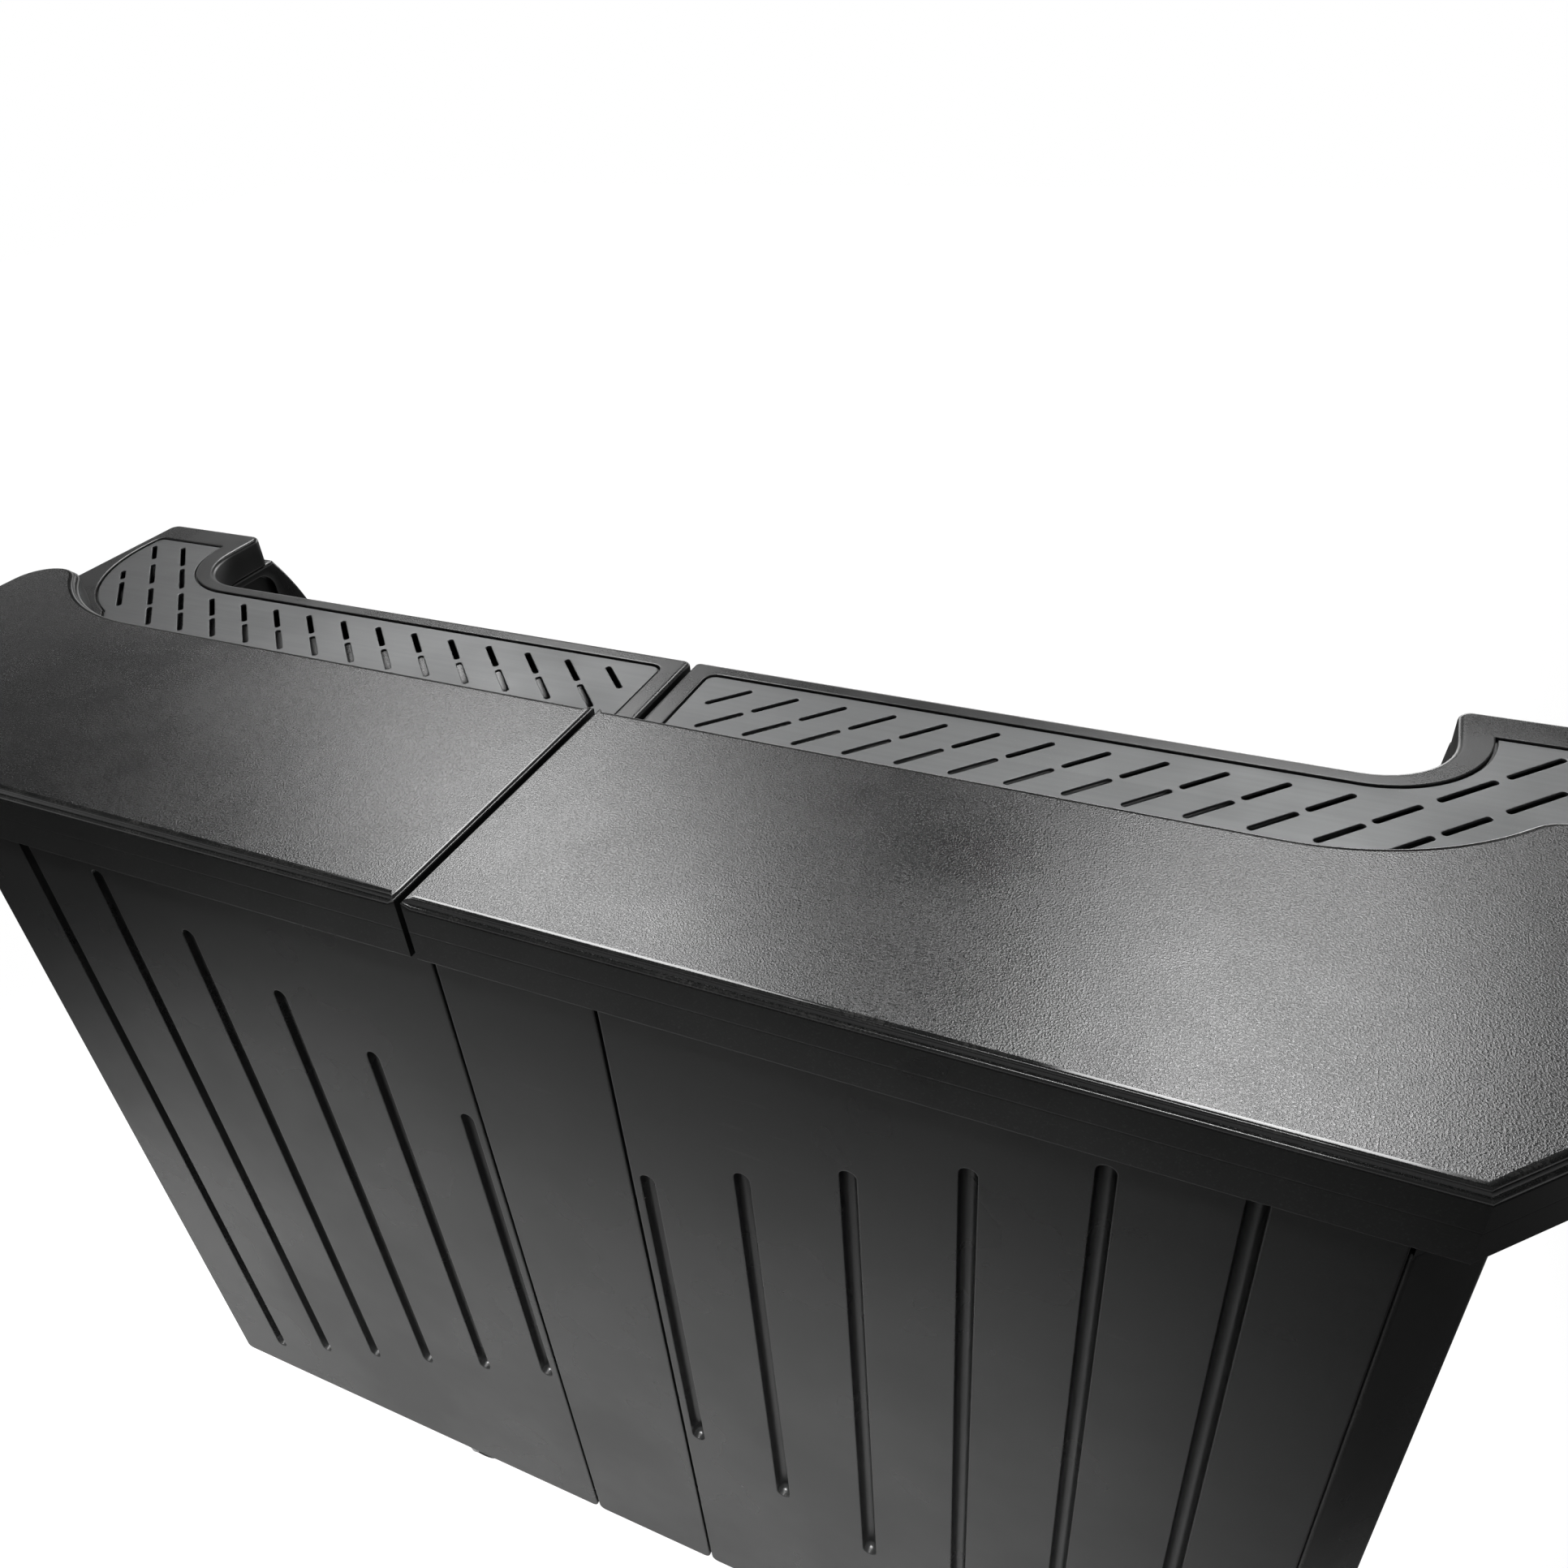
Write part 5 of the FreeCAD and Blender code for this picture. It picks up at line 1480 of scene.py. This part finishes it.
def caster_plate(c, clearance, x, y):
    """Top plate with its bolts, ball race and king pin."""
    skin = Skin(flat_place(x, y))
    along, across = c.plate_length / 2, c.plate_width / 2
    corners = [(-along, -across), (along, -across), (along, across), (-along, across)]
    loop = sampled(rounded([(u, v, c.plate_corner) for u, v in corners], 5), CLOSE_RUN)
    under = clearance - c.plate_thickness
    board(skin, loop, under, clearance, c.plate_foot, c.plate_soft, 0.0)
    race, waist = c.race_radius, c.race_radius - c.race_step
    low = under - c.race_height
    skin.turned(
        [
            (0.0, under, 0.0), (race, under, 0.0), (race, under - c.race_step * 1.6, 0.3),
            (waist, under - c.race_step * 2.6, 0.3), (waist, low + c.race_step * 1.8, 0.2),
            (race - c.race_step * 2.2, low, 0.5), (0.0, low, 0.0),
        ],
        40,
    )
    pin_foot = low - c.swivel_gap - c.crown_thickness - c.swivel_gap
    rod(skin, c.stem_radius, low, pin_foot)
    hexagon(skin, c.king_radius, pin_foot, pin_foot - c.king_thickness)
    for u in (-1, 1):
        for v in (-1, 1):
            skin.moved(flat_place(x + (along - c.bolt_inset) * u, y + (across - c.bolt_inset) * v))
            hexagon(skin, c.bolt_radius, under, under - c.bolt_thickness)
    return skin


def rod(skin, radius, low, high):
    skin.turned([(0.0, low, 0.0), (radius, low, 0.0), (radius, high, 0.0), (0.0, high, 0.0)], 24)


def crown_heights(c, clearance):
    """Upper and lower face of the fork's crown."""
    top = clearance - c.plate_thickness - c.race_height - c.swivel_gap
    return top, top - c.crown_thickness


def caster_fork(c, clearance, x, y):
    """Pressed fork: crown bored for the king pin, and two legs bored for the axle and the pedal."""
    top, bottom = crown_heights(c, clearance)
    half = c.fork_gap / 2
    outer = half + c.leg_thickness
    corner, ahead = c.crown_corner, -c.crown_reach
    skin = Skin(flat_place(x, y))
    corners = [(ahead, -outer, corner), (c.trail, -outer, 0), (c.trail, outer, 0), (ahead, outer, corner)]
    bore = circle(c.stem_radius + c.swivel_gap, 24)
    hole = [(bore * 1.06, top, 0.0), (bore, top - c.fine, 0.4), (bore, bottom, 0.0)]
    crown = sampled(rounded(corners, 5), CLOSE_RUN)
    board(skin, crown, bottom, top, c.fine, c.fine * 2, c.fine, holes=[hole])
    pivot_z = top - c.pedal_drop
    reach = c.pedal_reach + c.pedal_margin
    boss = c.boss_radius
    head = top - c.leg_sink
    leg = [
        (-c.leg_front, head, None),
        (-c.leg_front, top - c.leg_drop, None),
        (c.trail - boss, c.wheel_radius, (boss, 1, 8)),
        (c.trail, c.wheel_radius - boss, (boss, 1, 8)),
        (c.trail + boss, c.wheel_radius, None),
        (reach, pivot_z - c.pedal_margin, None),
        (reach, head, None),
    ]
    loop = sampled(leg, longest=0.03, guard=0.004)
    face = c.leg_thickness
    bores = (
        (c.trail, c.wheel_radius, c.axle_radius + c.axle_gap),
        (c.pedal_reach, pivot_z, c.pedal_stub + c.fine),
    )
    holes = []
    for u, v, radius in bores:
        mouth, ring = [circle(radius * grow, 20) + (u, v) for grow in (1.1, 1.0)]
        holes.append([(mouth, face, 0.0), (ring, face - c.hair, 0.4), (ring, 0.0, 0.0)])
    for side in (1, -1):
        skin.moved(lambda u, v, h, side=side: (x + u, y + (half + h) * side, v))
        board(skin, loop, 0.0, face, c.hair, c.hair * 3, c.fine, holes=holes)
    return skin


def both_ways(side, middle=()):
    """Closed section of a wheel from one side of it, given as (radius, distance from the middle, wear)."""
    return [*side, *middle, *[(r, -h, w) for r, h, w in reversed(side)], side[0]]


def caster_wheel(c, x, y):
    """Tyre with a crowned tread and fine edge lines; the centre is a piece of its own."""
    skin = Skin(axle_place(x + c.trail, y, c.wheel_radius))
    rim_radius = c.wheel_radius - c.tyre_depth
    half = c.wheel_width / 2
    side = [(rim_radius, half - c.rim_sink, 0.0), (rim_radius + c.rim_soft, half, 0.4)]
    side += [(c.wheel_radius - drop / 1000, half - away / 1000, wear) for drop, away, wear in TYRE_SHOULDER]
    skin.turned(both_ways(side, [(c.wheel_radius, 0.0, 0.2)]), 56)
    return skin


def wheel_centre(c, x, y):
    """Hub, dished web with ribs and outer rim of a wheel."""
    skin = Skin(axle_place(x + c.trail, y, c.wheel_radius))
    rim_radius = c.wheel_radius - c.tyre_depth
    half = c.wheel_width / 2 - c.rim_sink
    hub = c.hub_width / 2
    web = c.web / 2
    bore = c.axle_radius + c.axle_gap
    wall = rim_radius - c.rim_wall
    side = [
        (bore, hub - c.bore_soft, 0.0), (bore + c.bore_soft, hub, 0.6), (c.hub_radius - c.hub_soft, hub, 0.0),
        (c.hub_radius, hub - c.hub_soft, 0.8), (c.hub_radius + c.hub_soft, web + c.dish, 0.0),
        (c.hub_radius + c.dish_run, web, 0.0), (rim_radius - c.rim_foot, web, 0.0),
        (wall - c.fine, web + c.dish, 0.0), (wall, half - c.rim_soft, 0.6),
        (wall + c.rim_soft, half, 0.8), (rim_radius, half, 0.3),
    ]
    skin.turned(both_ways(side), 48)
    near, far, wide = c.hub_radius - c.rib_overlap, rim_radius - c.rib_end, c.rib_width / 2
    flat = [(near, -wide), (far, -wide), (far, wide), (near, wide)]
    high = web + c.rib_height
    levels = [(0.0, web - c.rib_sink, 0.0), (0.0, high - c.rib_soft, 0.6), (c.rib_slope, high, 0.6)]
    for sign in (1, -1):
        for k in range(c.ribs):
            loop = np.array([turned_by(corner, math.tau * k / c.ribs) for corner in flat])
            skin.block([(inset(loop, i), h * sign, w) for i, h, w in levels])
    return skin


def caster_axle(c, x, y):
    """Axle bolt with a hexagon head and nut against the legs."""
    skin = Skin(axle_place(x + c.trail, y, c.wheel_radius))
    outer = c.fork_gap / 2 + c.leg_thickness
    radius, head = c.axle_radius, c.head_thickness
    rod(skin, radius, -outer, outer)
    for sign in (1, -1):
        leg, end = outer * sign, (outer + head) * sign
        hexagon(skin, c.head_radius, leg, (outer + head * 0.8) * sign)
        skin.turned(
            [
                (0.0, leg, 0.0), (radius, leg, 0.0), (radius, (outer + head * 0.92) * sign, 0.5),
                (radius * 0.8, end, 0.8), (0.0, end, 0.0),
            ],
            20,
        )
    return skin


def caster_pedal(c, clearance, x, y):
    """Brake pedal: barrel on stubs and a lever with a bent, ribbed tread."""
    top, _ = crown_heights(c, clearance)
    z = top - c.pedal_drop
    inside = c.fork_gap / 2 - c.fine
    outer = c.fork_gap / 2 + c.leg_thickness
    place_x = x + c.pedal_reach
    stub, barrel, soft = c.pedal_stub, c.pedal_barrel, c.pedal_soft
    skin = Skin(axle_place(place_x, y, z))
    skin.turned(
        [
            (0.0, -outer, 0.0), (stub, -outer, 0.2), (stub, -inside, 0.0),
            (barrel - soft, -inside, 0.3), (barrel, soft - inside, 0.3),
            (barrel, inside - soft, 0.3), (barrel - soft, inside, 0.3),
            (stub, inside, 0.0), (stub, outer, 0.2), (0.0, outer, 0.0),
        ],
        24,
    )
    shoe, end, thick = c.pedal_shoe, c.pedal_length, c.pedal_thickness
    lever = [
        (0.0, -barrel), (shoe, -barrel), (shoe, 0.0), (end - shoe, 0.0), (end, -c.pedal_shoe_depth),
        (end, thick - c.pedal_shoe_depth), (end - shoe, thick), (0.0, thick),
    ]
    loop = sampled([(u, v, None) for u, v in lever], longest=0.01, guard=0.002)
    board(skin, loop, -inside, inside, c.pedal_round, c.pedal_round, c.hair)
    skin.moved(flat_place(place_x, y, z + thick))
    wide, long = c.pedal_rib / 2, inside - c.pedal_rib_inset
    for k in range(c.pedal_ribs):
        u = shoe + (end - shoe * 2.4) * (k + 0.5) / c.pedal_ribs
        flat = np.array([(u - wide, -long), (u + wide, -long), (u + wide, long), (u - wide, long)])
        skin.block([(flat, -c.fine, 0.0), (flat, c.fine, 0.7), (inset(flat, c.fine), c.fine + c.hair, 0.9)])
    return skin


def caster_places(c):
    """Place and carrying half of each caster."""
    return {
        "front_left": (c.front_left, c.front_back, "left_half"),
        "front_right": (c.front_right, c.front_back, "right_half"),
        "rear_left": (-c.rear_side, c.rear_back, "left_half"),
        "rear_right": (c.rear_side, c.rear_back, "right_half"),
    }


# Operators, one for each piece or group of like pieces


def build_pair(sizes, kind, ending, slot, build, body="_half", finish=None):
    """Build a piece of each half; the function for it takes the sizes and the side."""
    for word, side in SIDES:
        node = word + "_" + kind
        finished(sizes, build(sizes, side), node + ending, word + body, slot, node, finish)


class BuildCounterTops(bpy.types.Operator):
    """Build the two raised counter tops"""

    bl_idname = "bar_counter.counter_tops"
    bl_label = "Counter tops"

    def execute(self, context):
        build_pair(context.scene.bar_counter, "counter_top", "_shell", "grained_plastic", counter_top)
        return {"FINISHED"}


class BuildDecks(bpy.types.Operator):
    """Build the two work decks with their recesses"""

    bl_idname = "bar_counter.decks"
    bl_label = "Work decks"

    def execute(self, context):
        sizes = context.scene.bar_counter
        build_pair(sizes, "deck", "_shell", "grained_plastic", work_deck, finish="deck_plastic")
        return {"FINISHED"}


class BuildDripPlates(bpy.types.Operator):
    """Build the two slotted drip plates"""

    bl_idname = "bar_counter.drip_plates"
    bl_label = "Drip plates"

    def execute(self, context):
        build_pair(context.scene.bar_counter, "drip_plate", "_sheet", "drip_metal", drip_plate, "_plate")
        return {"FINISHED"}


class BuildFronts(bpy.types.Operator):
    """Build the grooved front panels and the plain centre strip"""

    bl_idname = "bar_counter.fronts"
    bl_label = "Front panels"

    def execute(self, context):
        sizes = context.scene.bar_counter
        strip = centre_strip(sizes)
        finished(sizes, strip, "centre_strip_board", "right_half", "satin_plastic", "centre_strip")
        build_pair(sizes, "front_panel", "_board", "satin_plastic", front_panel)
        return {"FINISHED"}


class BuildSideWalls(bpy.types.Operator):
    """Build the two side walls with their 45 degree faces"""

    bl_idname = "bar_counter.side_walls"
    bl_label = "Side walls"

    def execute(self, context):
        build_pair(context.scene.bar_counter, "side_wall", "_shell", "satin_plastic", side_wall)
        return {"FINISHED"}


class BuildShelves(bpy.types.Operator):
    """Build the base shelves, middle shelves and inner posts"""

    bl_idname = "bar_counter.shelves"
    bl_label = "Shelves and posts"

    def execute(self, context):
        sizes = context.scene.bar_counter
        for word, side in SIDES:
            for build in (base_shelf, middle_shelf, inner_post):
                node = word + "_" + build.__name__
                finished(sizes, build(sizes, side), node + "_board", word + "_half", "shelf_plastic", node)
        return {"FINISHED"}


class BuildHinges(bpy.types.Operator):
    """Build the leaves, screws and pins of the two fold hinges"""

    bl_idname = "bar_counter.hinges"
    bl_label = "Fold hinges"

    def execute(self, context):
        sizes = context.scene.bar_counter
        for level, low in (("lower", sizes.hinges.low), ("upper", sizes.hinges.high)):
            for (word, side), knuckles in zip(SIDES, ((0, 2), (1,))):
                node = word + "_" + level + "_hinge_leaf"
                leaf = hinge_leaf(sizes, side, low, knuckles)
                finished(sizes, leaf, node + "_metal", word + "_half", "hinge_steel", node)
            node = level + "_hinge_pin"
            finished(sizes, hinge_pin(sizes, low), node + "_metal", "right_half", "hinge_steel", node)
        return {"FINISHED"}


class BuildCasters(bpy.types.Operator):
    """Build the four braked casters"""

    bl_idname = "bar_counter.casters"
    bl_label = "Casters"

    def execute(self, context):
        sizes = context.scene.bar_counter
        c = sizes.casters
        clearance = sizes.fronts.clearance
        for word, (x, y, half) in caster_places(c).items():
            y += front_plane(sizes)
            node = word + "_caster_"
            swivel, wheel, pedal = word + "_swivel", word + "_wheel", word + "_pedal"
            plate = caster_plate(c, clearance, x, y)
            finished(sizes, plate, node + "plate_metal", half, "caster_steel", node + "plate")
            fork = caster_fork(c, clearance, x, y)
            finished(sizes, fork, node + "fork_metal", swivel, "caster_steel", node + "fork")
            axle = caster_axle(c, x, y)
            finished(sizes, axle, node + "axle_bolt", swivel, "caster_steel", node + "axle")
            tyre = caster_wheel(c, x, y)
            finished(sizes, tyre, node + "tyre", wheel, "wheel_rubber", node + "wheel")
            centre = wheel_centre(c, x, y)
            finished(sizes, centre, node + "wheel_centre", wheel, "wheel_rubber", finish="wheel_centre")
            lever = caster_pedal(c, clearance, x, y)
            finished(sizes, lever, node + "pedal_lever", pedal, "pedal_plastic", node + "pedal")
        return {"FINISHED"}


# Stage


def sight(tree):
    """Whether a ray comes from the camera, and whether it comes from a reflection or a clear material."""
    path = tree.nodes.new("ShaderNodeLightPath").outputs
    reflected = math_node(tree, "MAXIMUM", path["Is Glossy Ray"], path["Is Transmission Ray"])
    return path["Is Camera Ray"], reflected


def floor_material(base, s):
    """Floor that the camera sees as white.

    Its colour darkens to the right of the counter as painted shade; reflections show most of its glow close
    behind it.
    """
    made, tree, shader = new_material("pale_floor", base, 0.0)
    where = piece_coordinates(tree)
    spot = apart(tree, where)
    mottle = between(tree, noise(tree, where, 3.0, detail=4.0, roughness=0.6), 0.3, 0.7)
    paint_and_shade = mixed(tree, mottle, base, tinted(base, 0.985))
    # Painted shade: the floor's colour turns darker to the right of the counter
    paint_and_shade = mixed(tree, between(tree, spot["X"], *PAINTED_SHADE_TURN), paint_and_shade, tinted(base, s.floor_dark))
    link(tree, paint_and_shade, shader.inputs["Base Color"])
    shader.inputs["Roughness"].default_value = 0.9
    shader.inputs["Emission Strength"].default_value = 1.0
    away = tree.nodes.new("ShaderNodeVectorMath")
    away.operation = "LENGTH"
    link(tree, where, away.inputs[0])
    white = between(tree, away.outputs["Value"], *GLOW_TURN, s.floor_glow, 1.0)
    near = between(tree, spot["Y"], *SHARE_RISE, s.floor_front, s.floor_back)
    far = between(tree, spot["Y"], *SHARE_FALL, s.floor_back, s.floor_front)
    seen, reflected = sight(tree)
    shown = times(tree, reflected, math_node(tree, "MINIMUM", near, far))
    level = math_node(tree, "MAXIMUM", times(tree, seen, white), shown)
    link(tree, mixed(tree, level, (0.0, 0.0, 0.0), (1.0, 1.0, 1.0)), shader.inputs["Emission Color"])
    return made


def pale_floor(sizes):
    half = sizes.stage.floor_half
    corners = [(-half, -half, 0), (half, -half, 0), (half, half, 0), (-half, half, 0)]
    mesh = bpy.data.meshes.new("floor")
    mesh.from_pydata(corners, [], [(0, 1, 2, 3)])
    mesh.materials.append(floor_material(tuple(sizes.finishes.floor), sizes.stage))
    return bpy.data.objects.new("floor", mesh)


def softbox(name, watts, place, target, size, spread):
    """Rectangular lamp that the camera doesn't see."""
    lamp = bpy.data.lights.new(name, "AREA")
    lamp.shape = "RECTANGLE"
    lamp.size, lamp.size_y = size
    lamp.energy = watts
    lamp.spread = math.radians(spread)
    made = bpy.data.objects.new(name, lamp)
    made.location = place
    made.rotation_euler = (Vector(target) - Vector(place)).to_track_quat("-Z", "Y").to_euler()
    made.visible_camera = False
    return made


def white_room(s):
    """World that the camera sees as white; reflections show a white backdrop under a dim ceiling."""
    made = bpy.data.worlds.new("white_room")
    made.use_nodes = True
    tree = made.node_tree
    towards = apart(tree, tree.nodes.new("ShaderNodeTexCoord").outputs["Generated"])
    ceiling = between(tree, towards["Y"], *CEILING_TURN, s.front_ceiling, s.ceiling)
    low, high = math.sin(s.backdrop_end), math.sin(s.ceiling_start)
    room = between(tree, towards["Z"], low, high, 1.0, ceiling)
    seen, reflected = sight(tree)
    around = between(tree, reflected, 0.0, 1.0, s.ambient, room)
    link(tree, between(tree, seen, 0.0, 1.0, around, 1.0), tree.nodes["Background"].inputs["Color"])
    return made


def photo_camera(s):
    camera = bpy.data.cameras.new("photo_camera")
    camera.sensor_width = SENSOR_WIDTH
    camera.lens = s.lens
    made = bpy.data.objects.new("photo_camera", camera)
    made.location = s.camera_place
    made.rotation_euler = s.camera_turn
    return made


class BuildStage(bpy.types.Operator):
    """Build the floor, the soft lamps, the world and the camera"""

    bl_idname = "bar_counter.stage"
    bl_label = "Stage"

    def execute(self, context):
        scene = context.scene
        s = scene.bar_counter.stage
        floor = pale_floor(scene.bar_counter)
        lamps = [softbox(name, getattr(s, watts), *rest) for name, watts, *rest in LAMPS]
        scene.camera = photo_camera(s)
        for made in (floor, *lamps, scene.camera):
            scene.collection.objects.link(made)
        scene.world = white_room(s)
        scene.view_settings.view_transform = "Standard"
        return {"FINISHED"}


class CounterPanel(bpy.types.Panel):
    """Lists the operators that build the bar counter"""

    bl_idname = "VIEW3D_PT_bar_counter"
    bl_label = "Bar counter"
    bl_space_type = "VIEW_3D"
    bl_region_type = "UI"
    bl_category = "Bar counter"

    def draw(self, context):
        for operator in OPERATORS:
            self.layout.operator(operator.bl_idname)


SETTINGS = (
    TopSizes, DeckSizes, PlateSizes, FrontSizes, WallSizes, ShelfSizes, HingeSizes, CasterSizes,
    Finishes, StageSizes, CounterSettings,
)
OPERATORS = (
    BuildCounterTops, BuildDecks, BuildDripPlates, BuildFronts, BuildSideWalls, BuildShelves,
    BuildHinges, BuildCasters, BuildStage,
)


def register():
    for kind in (*SETTINGS, *OPERATORS, CounterPanel):
        bpy.utils.register_class(kind)
    bpy.types.Scene.bar_counter = PointerProperty(type=CounterSettings)


def unregister():
    del bpy.types.Scene.bar_counter
    for kind in reversed((*SETTINGS, *OPERATORS, CounterPanel)):
        bpy.utils.unregister_class(kind)


def main():
    register()
    bpy.ops.bar_counter.counter_tops()
    bpy.ops.bar_counter.decks()
    bpy.ops.bar_counter.drip_plates()
    bpy.ops.bar_counter.fronts()
    bpy.ops.bar_counter.side_walls()
    bpy.ops.bar_counter.shelves()
    bpy.ops.bar_counter.hinges()
    bpy.ops.bar_counter.casters()
    bpy.ops.bar_counter.stage()


if __name__ == "__main__":
    main()
